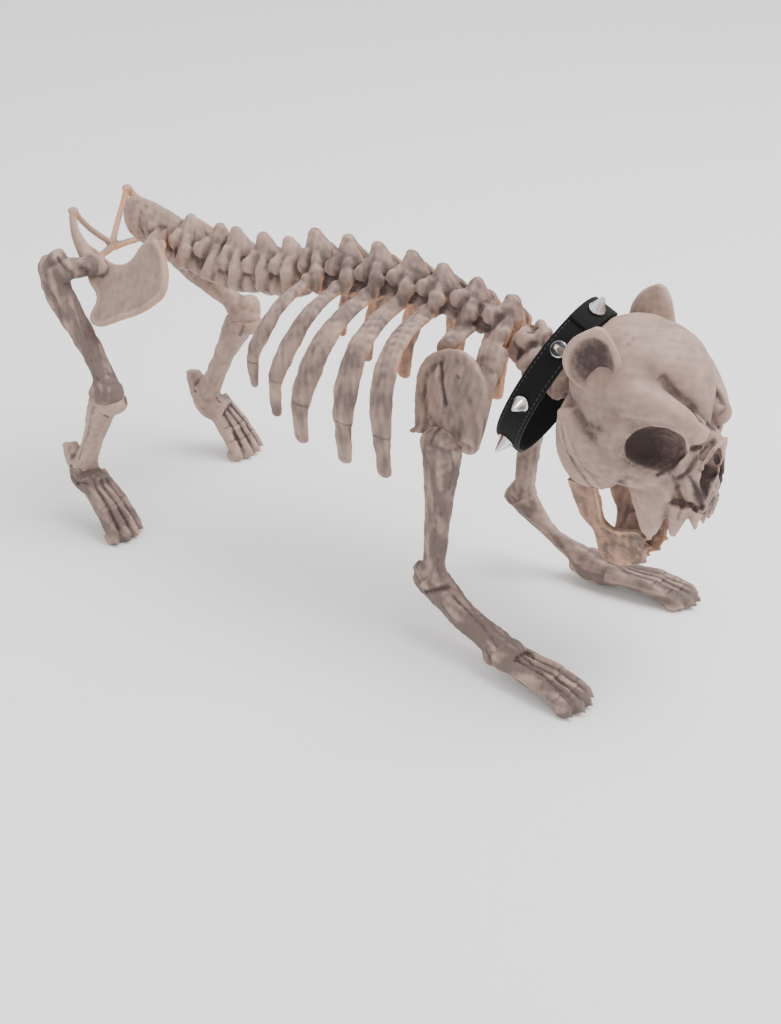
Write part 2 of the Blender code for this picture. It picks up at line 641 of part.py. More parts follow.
def build_ears():
    for side, tag in ((-1, "right"), (1, "left")):
        leaf = [(0.186, side * 0.0310, 0.190, 0.0150, 0.0080),
                (0.186, side * 0.0345, 0.200, 0.0170, 0.0080),
                (0.187, side * 0.0355, 0.208, 0.0155, 0.0070),
                (0.189, side * 0.0360, 0.2165, 0.0100, 0.0045),
                (0.1900, side * 0.0355, 0.2235, 0.0025, 0.0020)]
        hollow = [(0.190, side * 0.0430, 0.188, 0.0130, 0.0080),
                  (0.189, side * 0.0435, 0.200, 0.0125, 0.0070),
                  (0.189, side * 0.0435, 0.208, 0.0110, 0.0065),
                  (0.190, side * 0.0430, 0.2155, 0.0050, 0.0040)]
        cup = (0.95, -side * 0.30, 0)
        mould("ear_" + tag, [bone(leaf, across=cup)], 240, voxel=0.0012, carve=[bone(hollow, across=cup)],
              cuts=[ear_cut(side, False)])


def build_jaw():
    pieces = [bone([(0.196, -0.014, 0.082, 0.012, 0.0045), (0.199, -0.009, 0.073, 0.013, 0.0055),
                    (0.2005, 0, 0.0675, 0.0125, 0.0060), (0.199, 0.009, 0.073, 0.013, 0.0055),
                    (0.196, 0.014, 0.082, 0.012, 0.0045)], across=(0.9, 0, 0.44))]
    cuts = []
    for side in (-1, 1):
        pieces.append(bone([(0.180, side * 0.029, 0.131, 0.0090, 0.0042),
                            (0.183, side * 0.027, 0.117, 0.0080, 0.0042),
                            (0.188, side * 0.022, 0.104, 0.0075, 0.0042),
                            (0.1965, side * 0.017, 0.094, 0.0125, 0.0045),
                            (0.198, side * 0.013, 0.083, 0.0130, 0.0050)]))
        for n in range(3):
            root = Vector((0.207, side * (0.003 + 0.0052 * n), 0.072 + 0.0055 * n))
            pieces.append(tooth(root, root + Vector((0.009, 0, 0.003)), 0.0033))
        cuts.append(half_space((0.183, side * 0.026, JAW_TOP_Z), (0, 0, 1), 0.030))
    mould("jaw", pieces, 700, voxel=0.0013, cuts=cuts)


def collar_point(angle, outward=0.0, along=0.0):
    """Point of the collar: angle from the top, distance out from the strap's middle and across it."""
    y = (COLLAR_HALF_WIDTH + outward) * math.sin(angle)
    up = (COLLAR_HALF_HEIGHT + outward) * math.cos(angle)
    lean = Matrix.Rotation(COLLAR_LEAN, 3, "Y")
    return Vector(COLLAR_CENTRE) + lean @ Vector((along, y, up))


def collar_normal(angle):
    """Direction square to the strap's outer face."""
    lean = Matrix.Rotation(COLLAR_LEAN, 3, "Y")
    across = COLLAR_HALF_HEIGHT * math.sin(angle)
    up = COLLAR_HALF_WIDTH * math.cos(angle)
    return (lean @ Vector((0, across, up))).normalized()


def strap(swell=0.0, sides=48):
    """Closed band of the collar, made thicker by the swell on every face when it is a cutter."""
    half = STRAP_THICKNESS / 2 + swell
    wide = STRAP_WIDTH / 2 + swell

    def fill(bm):
        rings = []
        for n in range(sides):
            angle = 2 * math.pi * n / sides
            corners = ((-half, -wide), (half, -wide), (half, wide), (-half, wide))
            rings.append([bm.verts.new(collar_point(angle, *corner)) for corner in corners])
        for n in range(sides):
            here = rings[n]
            after = rings[(n + 1) % sides]
            for m in range(4):
                bm.faces.new((here[m], after[m], after[(m + 1) % 4], here[(m + 1) % 4]))

    return mesh_object("strap", fill)


def build_collar():
    body = strap()
    largest_shell(body)
    finish(body, "collar_strap", WEBBING)
    for n in range(STUD_COUNT):
        angle = -STUD_STEP * n - STUD_TURN
        outward = collar_normal(angle)
        base = collar_point(angle, STRAP_THICKNESS / 2) + outward * (GAP + 0.0001)
        reach = outward * STUD_HEIGHT
        place = Matrix.Translation(base + reach / 2) @ reach.to_track_quat("Z", "Y").to_matrix().to_4x4()

        def fill(bm):
            bmesh.ops.create_cone(bm, cap_ends=True, segments=12, radius1=STUD_RADIUS, radius2=0.0006,
                                  depth=reach.length, matrix=place)

        stud = mesh_object("stud", fill)
        largest_shell(stud)
        finish(stud, "stud_%d" % (n + 1), CHROME)


for old in list(bpy.data.objects):
    bpy.data.objects.remove(old)
PARTS = bpy.data.collections.new("dog_skeleton_prop")
bpy.context.scene.collection.children.link(PARTS)
STAND = bpy.data.objects.new("prop_frame", None)
STAND.location = FRAME_SHIFT
PARTS.objects.link(STAND)

build_loin()
build_chest()
build_neck()
build_sacrum()
build_hips()
for SIDE, TAG in ((-1, "right"), (1, "left")):
    build_fore_limb(SIDE, TAG)
    build_hind_limb(SIDE, TAG)
build_skull()
build_ears()
build_jaw()
build_collar()
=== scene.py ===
# %% [markdown]
# # A plastic dog skeleton, dressed for its portrait
#
# The real thing is a porch decoration: a bulldog's skeleton moulded in soft plastic, with a grey-brown
# wash rubbed into its hollows, raw orange plastic left bare on the inner faces, and a spiked webbing
# collar. The imported model gives the true places of every bone. This script builds each bone again at
# a much finer grain, so the frame is loaded first, before anything is added.

# %% Load the frame
import math

import bmesh
import bpy
import numpy as np
from mathutils import Matrix, Vector
from mathutils.bvhtree import BVHTree


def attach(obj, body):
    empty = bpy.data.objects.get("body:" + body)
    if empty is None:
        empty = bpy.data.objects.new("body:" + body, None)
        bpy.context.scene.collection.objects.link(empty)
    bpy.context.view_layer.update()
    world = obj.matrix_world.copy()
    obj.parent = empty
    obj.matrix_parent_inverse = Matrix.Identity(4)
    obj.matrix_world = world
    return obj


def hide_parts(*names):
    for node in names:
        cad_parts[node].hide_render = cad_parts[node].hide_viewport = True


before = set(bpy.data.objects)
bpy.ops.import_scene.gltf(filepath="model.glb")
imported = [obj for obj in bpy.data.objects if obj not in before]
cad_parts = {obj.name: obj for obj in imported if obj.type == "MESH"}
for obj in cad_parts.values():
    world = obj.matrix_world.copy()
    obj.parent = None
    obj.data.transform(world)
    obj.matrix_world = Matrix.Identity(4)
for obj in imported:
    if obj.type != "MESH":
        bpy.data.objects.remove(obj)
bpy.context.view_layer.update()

# %% [markdown]
# ## The camera
#
# The photograph looks down on the dog from its front right. A camera can be placed by eye, but a better
# way is to fit it: known pairs of points, such as the two hip tips, must be mirror images, and the soles
# must share one level. That fit gave the direction, distance and field of view used here. Nothing is
# shifted, and the depth of field stays off.

# %% Camera
VIEW_AZIMUTH = math.radians(34.6)
VIEW_ELEVATION = math.radians(29.9)
VIEW_PLACE = (0.5731, -0.8201, 0.6140)
SENSOR = 36.0
FOCAL_PIXELS = 1800.0
PICTURE_HEIGHT = 1024
PICTURE_MIDDLE = (390.5, 512.0)


def view_axes():
    """The camera's right, up and backward directions."""
    right = Vector((math.cos(VIEW_AZIMUTH), math.sin(VIEW_AZIMUTH), 0))
    up = Vector((-math.sin(VIEW_AZIMUTH) * math.sin(VIEW_ELEVATION),
                 math.cos(VIEW_AZIMUTH) * math.sin(VIEW_ELEVATION), math.cos(VIEW_ELEVATION)))
    return right, up, right.cross(up)


def place_camera():
    """Camera whose own axes are worked out from its azimuth and elevation."""
    pose = Matrix(view_axes()).transposed().to_4x4()
    pose.translation = VIEW_PLACE
    eye = bpy.data.cameras.new("portrait")
    eye.sensor_width = SENSOR
    eye.lens = FOCAL_PIXELS / PICTURE_HEIGHT * SENSOR
    eye.clip_start = 0.01
    camera = bpy.data.objects.new("portrait", eye)
    camera.matrix_world = pose
    bpy.context.scene.collection.objects.link(camera)
    bpy.context.scene.camera = camera
    return camera


print("lens in mm", round(place_camera().data.lens, 2))

# %% [markdown]
# ## Named sizes
#
# Every bone is placed from a short list of sizes, the same ones that the solids were built from:
# heights of the backbone along the body, the bow of a rib, the joint centres of each limb. Metres, +X
# to the nose, +Y to the dog's left, soles on z = 0. They could be typed where they are used, but
# neighbouring bones share them. The frame shift, added at the very end, puts the prop over the origin.

# %% Sizes shared with the solids
GAP = 0.0003
FRAME_SHIFT = Vector((-0.0229, -0.0001, 0.0))
SPINE_X = (-0.150, -0.115, -0.090, -0.050, -0.010, 0.035, 0.075, 0.105, 0.128, 0.150)
SPINE_Z = (0.186, 0.183, 0.178, 0.184, 0.194, 0.199, 0.197, 0.191, 0.181, 0.168)
CREST_X = (-0.140, -0.105, -0.062, -0.042, -0.019, 0.003, 0.045, 0.085, 0.106, 0.134)
CREST_Z = (0.208, 0.207, 0.208, 0.209, 0.220, 0.221, 0.221, 0.215, 0.211, 0.192)
VERTEBRA_STEP = 0.0213
FIRST_LUMBAR_X = -0.126
LUMBAR_COUNT = 5
THORACIC_COUNT = 7
NECK_COUNT = 2
CENTRUM_RADIUS = 0.0105
LOIN_REAR_X = -0.137
CHEST_REAR_X = -0.0305
NECK_REAR_X = 0.1185
SKULL_REAR_X = 0.1610
RIB_BOW = ((0.16, 1.00), (0.50, 0.97), (0.79, 0.88), (0.96, 0.72), (1.03, 0.52), (1.04, 0.30), (1.0, 0.0))
RIB_ROOT_Z = 0.193
RIB_TIP_Y = (0.046, 0.048, 0.055, 0.058, 0.062)
RIB_TIP_Z = (0.132, 0.118, 0.110, 0.108, 0.110)
RIB_SWING = (-0.020, -0.023, -0.020, -0.007, 0.003)
RIB_WIDTH = (0.0058, 0.0068, 0.0086, 0.0088, 0.0086)
RIB_DEPTH = 0.0034
SHOULDER = {"right": (0.096, -0.041, 0.133), "left": (0.109, 0.041, 0.129)}
ELBOW = {"right": (0.098, -0.053, 0.043), "left": (0.098, 0.051, 0.050)}
WRIST = {"right": (0.153, -0.062, 0.0160), "left": (0.141, 0.060, 0.0130)}
FORE_TOE = {"right": (0.212, -0.0665), "left": (0.214, 0.069)}
HIP = {"right": (-0.175, -0.046, 0.175), "left": (-0.172, 0.046, 0.172)}
KNEE = {"right": (-0.150, -0.062, 0.100), "left": (-0.135, 0.061, 0.115)}
HOCK = {"right": (-0.178, -0.060, 0.038), "left": (-0.171, 0.061, 0.046)}
HIND_TOE = {"right": (-0.132, -0.069), "left": (-0.139, 0.069)}
FOREARM_SAG = {"right": 0.0025, "left": 0.0050}
BLADE_X = {"right": 0.098, "left": 0.116}
BLADE_WIDTH = {"right": 1.0, "left": 0.60}
HIP_FLARE = math.radians(34)
JAW_TOP_Z = 0.1225
COLLAR_CENTRE = (0.146, 0.0, 0.168)
COLLAR_LEAN = math.radians(26)
COLLAR_HALF_HEIGHT = 0.051
COLLAR_HALF_WIDTH = 0.037
STRAP_WIDTH = 0.0165
STRAP_THICKNESS = 0.0020
COLLAR_CLEARANCE = 0.0012
SIDES = ((-1, "right"), (1, "left"))
print("vertebrae", LUMBAR_COUNT + THORACIC_COUNT + NECK_COUNT, "ribs", 2 * len(RIB_TIP_Y))

# %% [markdown]
# ## Making single bones
#
# A bone could be sculpted, or carved from a block. Here each one starts as a few closed lofts, balls,
# cones and plates, because their sizes stay readable. A loft is a row of oval rings along a smooth line,
# and the smooth line is a Catmull-Rom curve: it passes through every point given, so a size in the list
# is a size on the bone.

# %% Lofts, balls, teeth and plates
TOOTH_TIP_SHARE = 0.22


def spine_z(x):
    """Height of the middle of the backbone."""
    return float(np.interp(x, SPINE_X, SPINE_Z))


def crest_z(x):
    """Height of the tips of the spinous processes."""
    return float(np.interp(x, CREST_X, CREST_Z))


def smooth_path(points, steps=6):
    """Catmull-Rom points through the given ones, in any number of dimensions."""
    p = np.array(points, float)
    if len(p) < 3:
        t = np.linspace(0, 1, steps + 1)[:, None]
        return p[0] * (1 - t) + p[-1] * t
    p = np.vstack([2 * p[0] - p[1], p, 2 * p[-1] - p[-2]])
    out = []
    for a, b, c, d in zip(p[:-3], p[1:-2], p[2:-1], p[3:]):
        for t in np.arange(steps) / steps:
            square = t * t
            cube = square * t
            out.append(0.5 * (2 * b + (c - a) * t + (2 * a - 5 * b + 4 * c - d) * square
                              + (3 * b - a - 3 * c + d) * cube))
    out.append(p[-2])
    return np.array(out)


def mesh_object(name, fill):
    """New object whose mesh the given function fills through bmesh."""
    mesh = bpy.data.meshes.new(name)
    bm = bmesh.new()
    fill(bm)
    bmesh.ops.recalc_face_normals(bm, faces=bm.faces)
    bm.to_mesh(mesh)
    bm.free()
    item = bpy.data.objects.new(name, mesh)
    bpy.context.scene.collection.objects.link(item)
    return item


def aimed(place, direction):
    """Matrix that sets a form at a place, with its own z along a direction."""
    return Matrix.Translation(place) @ direction.to_track_quat("Z", "Y").to_matrix().to_4x4()


def sided(side, *rows):
    """Rows of numbers whose second number, y, takes the sign of the side."""
    return [(row[0], side * row[1], *row[2:]) for row in rows]


def bone(stations, across=(1, 0, 0), sides=16):
    """Loft of oval sections through stations of x, y, z, half width and half depth."""
    rows = smooth_path(stations)

    def fill(bm):
        rings = []
        for row, tangent in zip(rows, np.gradient(rows[:, :3], axis=0)):
            along = Vector(tangent).normalized()
            wide = Vector(across)
            wide = (wide - along * wide.dot(along)).normalized()
            deep = along.cross(wide)
            turns = [2 * math.pi * k / sides for k in range(sides)]
            rings.append([bm.verts.new(Vector(row[:3]) + wide * (row[3] * math.cos(turn))
                                       + deep * (row[4] * math.sin(turn))) for turn in turns])
        for lower, upper in zip(rings, rings[1:]):
            for k in range(sides):
                bm.faces.new((lower[k], lower[(k + 1) % sides], upper[(k + 1) % sides], upper[k]))
        bm.faces.new(rings[0][::-1])
        bm.faces.new(rings[-1])

    return mesh_object("bone", fill)


def rod(points, radii):
    """Round bone through points, with one radius at each."""
    return bone([(*p, r, r) for p, r in zip(points, radii)], across=(0.31, 0.17, 0.93))


def ball(centre, radii):
    """Ellipsoid; radii is one number or three."""
    size = (radii,) * 3 if isinstance(radii, float) else radii
    place = Matrix.Translation(centre) @ Matrix.Diagonal((*size, 1))
    return mesh_object("ball", lambda bm: bmesh.ops.create_uvsphere(
        bm, u_segments=28, v_segments=18, radius=1, matrix=place))


def pod(start, end, wide, deep, across=(0, 1, 0)):
    """Ellipsoid along a line, with its own half width and half depth."""
    rows = []
    for turn in np.linspace(0.12, math.pi - 0.12, 9):
        t = (1 - math.cos(turn)) / 2
        rows.append((*Vector(start).lerp(Vector(end), t), wide * math.sin(turn), deep * math.sin(turn)))
    return bone(rows, across=across, sides=24)


def tooth(root, tip, radius):
    """Cone from its root to its tip."""
    reach = Vector(tip) - Vector(root)
    place = aimed(Vector(root) + reach / 2, reach)
    return mesh_object("tooth", lambda bm: bmesh.ops.create_cone(
        bm, cap_ends=True, segments=16, radius1=radius, radius2=radius * TOOTH_TIP_SHARE,
        depth=reach.length, matrix=place))


def plate(outline, thickness, place):
    """Flat plate from a closed smooth outline in its own plane."""
    ring = smooth_path([*outline, outline[0]], steps=5)[:-1]

    def fill(bm):
        lower, upper = ([bm.verts.new(place @ Vector((u, v, level))) for u, v in ring]
                        for level in (-thickness / 2, thickness / 2))
        bm.faces.new(lower)
        bm.faces.new(upper)
        for k in range(len(ring)):
            after = (k + 1) % len(ring)
            bm.faces.new((lower[k], lower[after], upper[after], upper[k]))

    return mesh_object("plate", fill)


print("a vertebra stands", round(1000 * (crest_z(0) - spine_z(0)), 1), "mm over the middle of the backbone")

# %% [markdown]
# ## Fusing, trimming and carving
#
# The factory's mould gives one soft skin over all the forms of a piece. A voxel remesh does the same:
# pieces that overlap come out as one even skin. A Boolean union could do it too, but with a hundred
# pieces and more it takes far too long, so Booleans only carve and trim. Flat cuts last of all give the
# faces on which neighbouring pieces meet.

# %% Fuse and trim


def apply_modifiers(item):
    """Replace the object's mesh with its evaluated mesh."""
    bpy.context.view_layer.update()
    graph = bpy.context.evaluated_depsgraph_get()
    mesh = bpy.data.meshes.new_from_object(item.evaluated_get(graph))
    item.modifiers.clear()
    item.data = mesh


def subtract(item, cutter):
    """Cut one object away from another and remove it afterwards."""
    change = item.modifiers.new("subtract", "BOOLEAN")
    change.operation = "DIFFERENCE"
    change.solver = "MANIFOLD"
    change.object = cutter
    apply_modifiers(item)
    bpy.data.objects.remove(cutter)


def gather(item, others):
    """Put all the others' meshes into the object's own, for the remesh to fuse."""
    bm = bmesh.new()
    for part in (item, *others):
        bm.from_mesh(part.data)
    bm.to_mesh(item.data)
    bm.free()
    for other in others:
        bpy.data.objects.remove(other)


def half_space(point, normal, reach):
    """Box that removes what lies beyond a plane, half a gap back from it."""
    normal = Vector(normal).normalized()
    place = aimed(Vector(point) + normal * (reach / 2 - GAP / 2), normal)
    return mesh_object("cut", lambda bm: bmesh.ops.create_cube(bm, size=reach, matrix=place))


def largest_shell(item):
    """Keep only the connected surface with the most vertices."""
    bm = bmesh.new()
    bm.from_mesh(item.data)
    unseen = set(bm.verts)
    shells = []
    while unseen:
        stack = [unseen.pop()]
        shell = set(stack)
        while stack:
            for edge in stack.pop().link_edges:
                for vert in edge.verts:
                    if vert in unseen:
                        unseen.discard(vert)
                        shell.add(vert)
                        stack.append(vert)
        shells.append(shell)
    keep = max(shells, key=len)
    if len(shells) > 1:
        bmesh.ops.delete(bm, geom=[v for v in bm.verts if v not in keep], context="VERTS")
        bm.to_mesh(item.data)
    bm.free()


print("gap between neighbours in mm", GAP * 1000)

# %% [markdown]
# ## Reading a skin as numbers
#
# On the prop the wash lies in the hollows and fine cracks run over the bones. A loop in Python could
# visit the many thousand vertices one by one, but numpy measures and moves them all at once. A fine
# groove or ridge is a short line near the surface, snapped onto it. Its points are places in space, or
# places in the picture in pixels, which a ray from the camera carries onto the skin. Slow waves of a few
# millimetres take away the look of turned parts.

# %% Read and measure a skin with numpy


def read(rows, key, size=3, kind=float):
    """One quantity of all vertices, normals or edges, as an array with a row for each."""
    flat = np.empty(len(rows) * size, kind)
    rows.foreach_get(key, flat)
    return flat.reshape(-1, size)


def neighbour_mean(values, ends, count, rounds):
    """Each vertex takes the mean of itself and its neighbours, several times over."""
    a, b = ends
    share = 1 + np.bincount(a, minlength=count) + np.bincount(b, minlength=count)
    for _ in range(rounds):
        total = values.copy()
        for k in range(values.shape[1]):
            total[:, k] += np.bincount(a, values[b, k], count) + np.bincount(b, values[a, k], count)
        values = total / share[:, None]
    return values


def hollowness(mesh, rounds, depth):
    """Near 1 where the skin lies the given depth below its surroundings, and near -1 where it stands out."""
    places = read(mesh.vertices, "co")
    ends = read(mesh.edges, "vertices", 2, np.int32).T
    lifted = neighbour_mean(places, ends, len(places), rounds) - places
    return np.clip((lifted * read(mesh.vertex_normals, "vector")).sum(axis=1) / depth, -1, 1)


def waves(places, length, seed, count=14):
    """Slow seeded swell over space, about -1 to 1, with bumps of about the given length."""
    draw = np.random.default_rng(seed)
    directions = draw.normal(size=(count, 3))
    directions /= np.linalg.norm(directions, axis=1)[:, None]
    pitch = 2 * math.pi / (length * draw.uniform(0.7, 1.5, count))
    phase = draw.uniform(0, 2 * math.pi, count)
    return np.cos(places @ (directions * pitch[:, None]).T + phase).sum(axis=1) / math.sqrt(count) / 1.6


def on_skin(point, tree):
    """Nearest skin to a place in space, or the skin seen at a place of two numbers in the picture."""
    if len(point) == 3:
        return tree.find_nearest(Vector(point))[0]
    right, up, back = view_axes()
    across, down = ((point[k] - PICTURE_MIDDLE[k]) / FOCAL_PIXELS for k in (0, 1))
    return tree.ray_cast(Vector(VIEW_PLACE) - FRAME_SHIFT, right * across - up * down - back)[0]


def snapped(line, tree, mirror=False):
    """Close-set points of a line, each moved onto the skin, or onto its mirror image."""
    hits = [on_skin(point, tree) for point in smooth_path(line, steps=8)]
    hits = [hit for hit in hits if hit is not None]
    if mirror:
        hits = [tree.find_nearest(Vector((hit.x, -hit.y, hit.z)))[0] for hit in hits]
    return np.array(hits)


def closeness(places, line, width):
    """1 on the line, falling to 0 within a few widths of it."""
    best = np.full(len(places), 9.0)
    low = line.min(axis=0) - 4 * width
    high = line.max(axis=0) + 4 * width
    near = np.flatnonzero(((places > low) & (places < high)).all(axis=1))
    if len(near):
        here = places[near]
        least = np.full(len(near), 9.0)
        for a, b in zip(line, line[1:]):
            step = b - a
            t = np.clip((here - a) @ step / max(step @ step, 1e-12), 0, 1)
            least = np.minimum(least, np.linalg.norm(here - a - t[:, None] * step, axis=1))
        best[near] = least
    return np.exp(-(best / width) ** 2)


print("a ripple of 8 mm at the origin", np.round(waves(np.zeros((1, 3)), 0.008, 1), 3))

# %% [markdown]
# ## The finish of moulded, washed plastic
#
# Shader nodes are easier to read as sums than as a web of wires. The small class below wraps one socket,
# so that `1 - wash * 0.5` adds the Math nodes by itself. Colours go through Mix nodes, because a Math
# node would turn them grey. The finish itself has three layers, as on the real prop: raw orange plastic,
# a grey-pink coat sprayed from outside, and a brown wash that stays in the hollows. The grey and the brown
# also carry painted shade. Four numbers painted on every vertex steer them, wash with painted shade,
# wear, dirt with painted shade, and coat, so they follow the shape from every side.

# %% Sockets that do arithmetic


class Value:
    """A node's output, with Python's arithmetic as Math nodes."""

    def __init__(self, paint, socket):
        self.paint = paint
        self.socket = socket

    def maths(self, operation, a, b, clamp=False):
        settings = {"operation": operation, "use_clamp": clamp}
        return self.paint.node("ShaderNodeMath", settings, {0: a, 1: b})[0]

    def __add__(self, other):
        return self.maths("ADD", self, other)

    def __sub__(self, other):
        return self.maths("SUBTRACT", self, other)

    def __rsub__(self, other):
        return self.maths("SUBTRACT", other, self)

    def __mul__(self, other):
        return self.maths("MULTIPLY", self, other)

    def __truediv__(self, other):
        return self.maths("DIVIDE", self, other)

    __radd__ = __add__

    def clamped(self):
        return self.maths("ADD", self, 0.0, clamp=True)

    def between(self, low, high):
        """0 below low, 1 above high and a straight rise in between."""
        return ((self - low) / (high - low)).clamped()

    def mix(self, first, second):
        """Colour that goes from the first to the second as this value goes from 0 to 1."""
        return self.paint.node("ShaderNodeMix", {"data_type": "RGBA"}, {0: self, 6: first, 7: second})[2]


class Paint:
    """A material with its Principled shader, filled node by node."""

    def __init__(self, name):
        self.material = bpy.data.materials.new(name)
        self.material.use_nodes = True
        self.tree = self.material.node_tree
        self.shader = self.tree.nodes["Principled BSDF"]

    def node(self, kind, settings=None, inputs=None):
        """New node: its settings first, then the values or links of its sockets; gives its outputs."""
        made = self.tree.nodes.new(kind)
        for key, value in (settings or {}).items():
            setattr(made, key, value)
        for key, value in (inputs or {}).items():
            self.feed(made.inputs[key], value)
        return [Value(self, out) for out in made.outputs]

    def feed(self, socket, value):
        """Link a Value, or set a number, vector or colour."""
        if isinstance(value, Value):
            self.tree.links.new(value.socket, socket)
        elif isinstance(value, tuple) and socket.type == "RGBA":
            socket.default_value = (*value[:3], 1)
        else:
            socket.default_value = value

    def attribute(self, name):
        """Number painted on the vertices under that name."""
        return self.node("ShaderNodeAttribute", {"attribute_name": name})[2]

    def vector_attribute(self, name):
        """Vector painted on the vertices under that name."""
        return self.node("ShaderNodeAttribute", {"attribute_name": name})[1]

    def noise(self, scale, detail=3.0, roughness=0.55):
        """Cloudy value from 0 to 1; the scale is in bumps per metre."""
        place = self.node("ShaderNodeTexCoord")[3]
        return self.node("ShaderNodeTexNoise", None, {"Vector": place, "Scale": scale, "Detail": detail,
                                                      "Roughness": roughness})[0]

    def set(self, **looks):
        """Feed the shader's own sockets, named with underscores for spaces."""
        for key, value in looks.items():
            self.feed(self.shader.inputs[key.replace("_", " ")], value)

    def bump(self, height, distance, strength):
        """Normal from a height field."""
        return self.node("ShaderNodeBump", None, {"Strength": strength, "Distance": distance,
                                                  "Height": height})[0]


print("a Value adds Math nodes by itself")

# %% [markdown]
# ## The bone finish
#
# The same paints cover every bone of the prop, so one material serves for all. A picture could be
# wrapped around each bone, but nodes need no unwrapping and read the painted numbers. The colours go on
# in the order of the real work: bare plastic, coat, thin grey veil, brown core of the hollows, and last
# the fine dots. The veil and the core also paint shade: in deep places, and more on the near limbs, which
# face away from the lamp.

# %% Bone finish
COAT_LIGHT = (0.415, 0.283, 0.228)
COAT_DARK = (0.265, 0.174, 0.138)
RAW_PLASTIC = (0.60, 0.31, 0.175)
# The brown and the grey paint the real wash and dirt, and also painted shade in deep places and on the near
# limbs.
WASH_AND_SHADE_BROWN = (0.042, 0.024, 0.021)
VEIL_AND_SHADE_GREY = (0.112, 0.082, 0.074)


def bone_finish():
    """Raw plastic, sprayed coat, brushed veil and hollow wash; the veil and the wash also hold painted shade.
    """
    paint = Paint("washed_bone_plastic")
    wash_and_shade = paint.attribute("wash_and_shade")
    worn = paint.attribute("worn")
    dirt_and_shade = paint.attribute("dirt_and_shade")
    coat = paint.attribute("coat")
    cloud = paint.noise(70.0)
    grain = paint.noise(480.0, 5.0, 0.7)
    specks = paint.noise(800.0, 2.0, 0.5)
    sprayed = (cloud * 0.7 + grain * 0.3 + worn * 0.12).between(0.36, 0.64).mix(COAT_DARK, COAT_LIGHT)
    colour = (coat + (grain - 0.5) * 0.6).between(0.15, 0.85).mix(RAW_PLASTIC, sprayed)
    # Painted shade: the grey veil is real dirt and wash, and it also darkens the near limbs and the shaded
    # spots.
    veil_and_shade = (dirt_and_shade * 1.15 + wash_and_shade * 0.7 - worn * 0.25 + (cloud - 0.5) * 0.7
            + (grain - 0.5) * 0.9).between(0.05, 1.0)
    colour = (veil_and_shade * 0.88).mix(colour, VEIL_AND_SHADE_GREY)
    # Painted shade: the brown core fills the real wash in hollows and also the painted spots of shade.
    core_and_shade = (wash_and_shade + (grain - 0.5) * 1.3 + (cloud - 0.5) * 0.6).between(0.45, 1.35)
    colour = (core_and_shade * 0.93).mix(colour, WASH_AND_SHADE_BROWN)
    dots = specks.between(0.68, 0.74) * cloud.between(0.48, 0.60) * 0.75
    colour = dots.mix(colour, WASH_AND_SHADE_BROWN)
    paint.set(Base_Color=colour, Roughness=0.58 + veil_and_shade * 0.16, IOR=1.45,
              Subsurface_Weight=0.06, Subsurface_Scale=0.003,
              Normal=paint.bump(grain * 0.7 + specks * 0.3, 0.0008, 0.45))
    paint.shader.inputs["Subsurface Radius"].default_value = (1.0, 0.45, 0.25)
    return paint.material


BONE = bone_finish()
print("bone finish has", len(BONE.node_tree.nodes), "nodes")

# %% [markdown]
# ## From pieces to a finished bone
#
# One function does for every bone what the factory does: fuse, relax, mark, trim, then spray and wash. It
# could be written out anew for each bone, but then no two would be made alike. The table of dirt and
# shade says how dark a grey veil each bone carries in the photograph: most on the near limbs, but for the
# near shin, and least on the ears and the skull. Its streaks are dirt, but its level is partly painted
# shade, since the near limbs face away from the lamp.
#
# The wash number is measured from the finished skin: a vertex that lies below the mean of its
# surroundings is in a hollow. Measured over a small and over a wide neighbourhood it finds both thin
# cracks and broad dips. Spots of painted shade in deep places are added to it. The coat number comes
# from the side that the spray reached.

# %% Mould one bone
# Dirt and painted shade: a higher number gives a bone a darker grey veil; the near limbs, turned from the
# lamp, get most.
DIRT_AND_SHADE = {"loin": 0.34, "neck": 0.40, "chest_right": 0.64, "chest_left": 0.64, "sacrum": 0.30,
        "hip_bone_right": 0.24, "hip_bone_left": 0.24, "shoulder_blade_right": 0.60,
        "shoulder_blade_left": 0.60, "humerus_right": 0.84, "humerus_left": 0.68, "forearm_right": 0.95,
        "forearm_left": 0.68, "fore_paw_right": 0.84, "fore_paw_left": 0.84, "femur_right": 1.00,
        "femur_left": 0.32, "shin_right": 0.22, "shin_left": 0.34, "hind_foot_right": 0.90,
        "hind_foot_left": 0.44, "skull": 0.17, "ear_right": 0.12, "ear_left": 0.12, "jaw": 0.60}
FIRST_VOXEL_SHARE = 1.1
LATE_ROUNDS = 4
LUMP_LENGTHS = (0.016, 0.0055)
STREAK_LENGTHS = (0.0045, 0.022)
STREAK_STRETCH = 0.8
FINE_ROUNDS = 6
BROAD_ROUNDS = 70
SHARP_ANGLE = math.radians(55)
TOTAL = {"faces": 0}


def reskin(body, voxel, rounds):
    """One even skin over the object, relaxed a number of times."""
    remesh = body.modifiers.new("remesh", "REMESH")
    remesh.mode = "VOXEL"
    remesh.voxel_size = voxel
    soften = body.modifiers.new("soften", "SMOOTH")
    soften.factor = 0.5
    soften.iterations = rounds
    apply_modifiers(body)


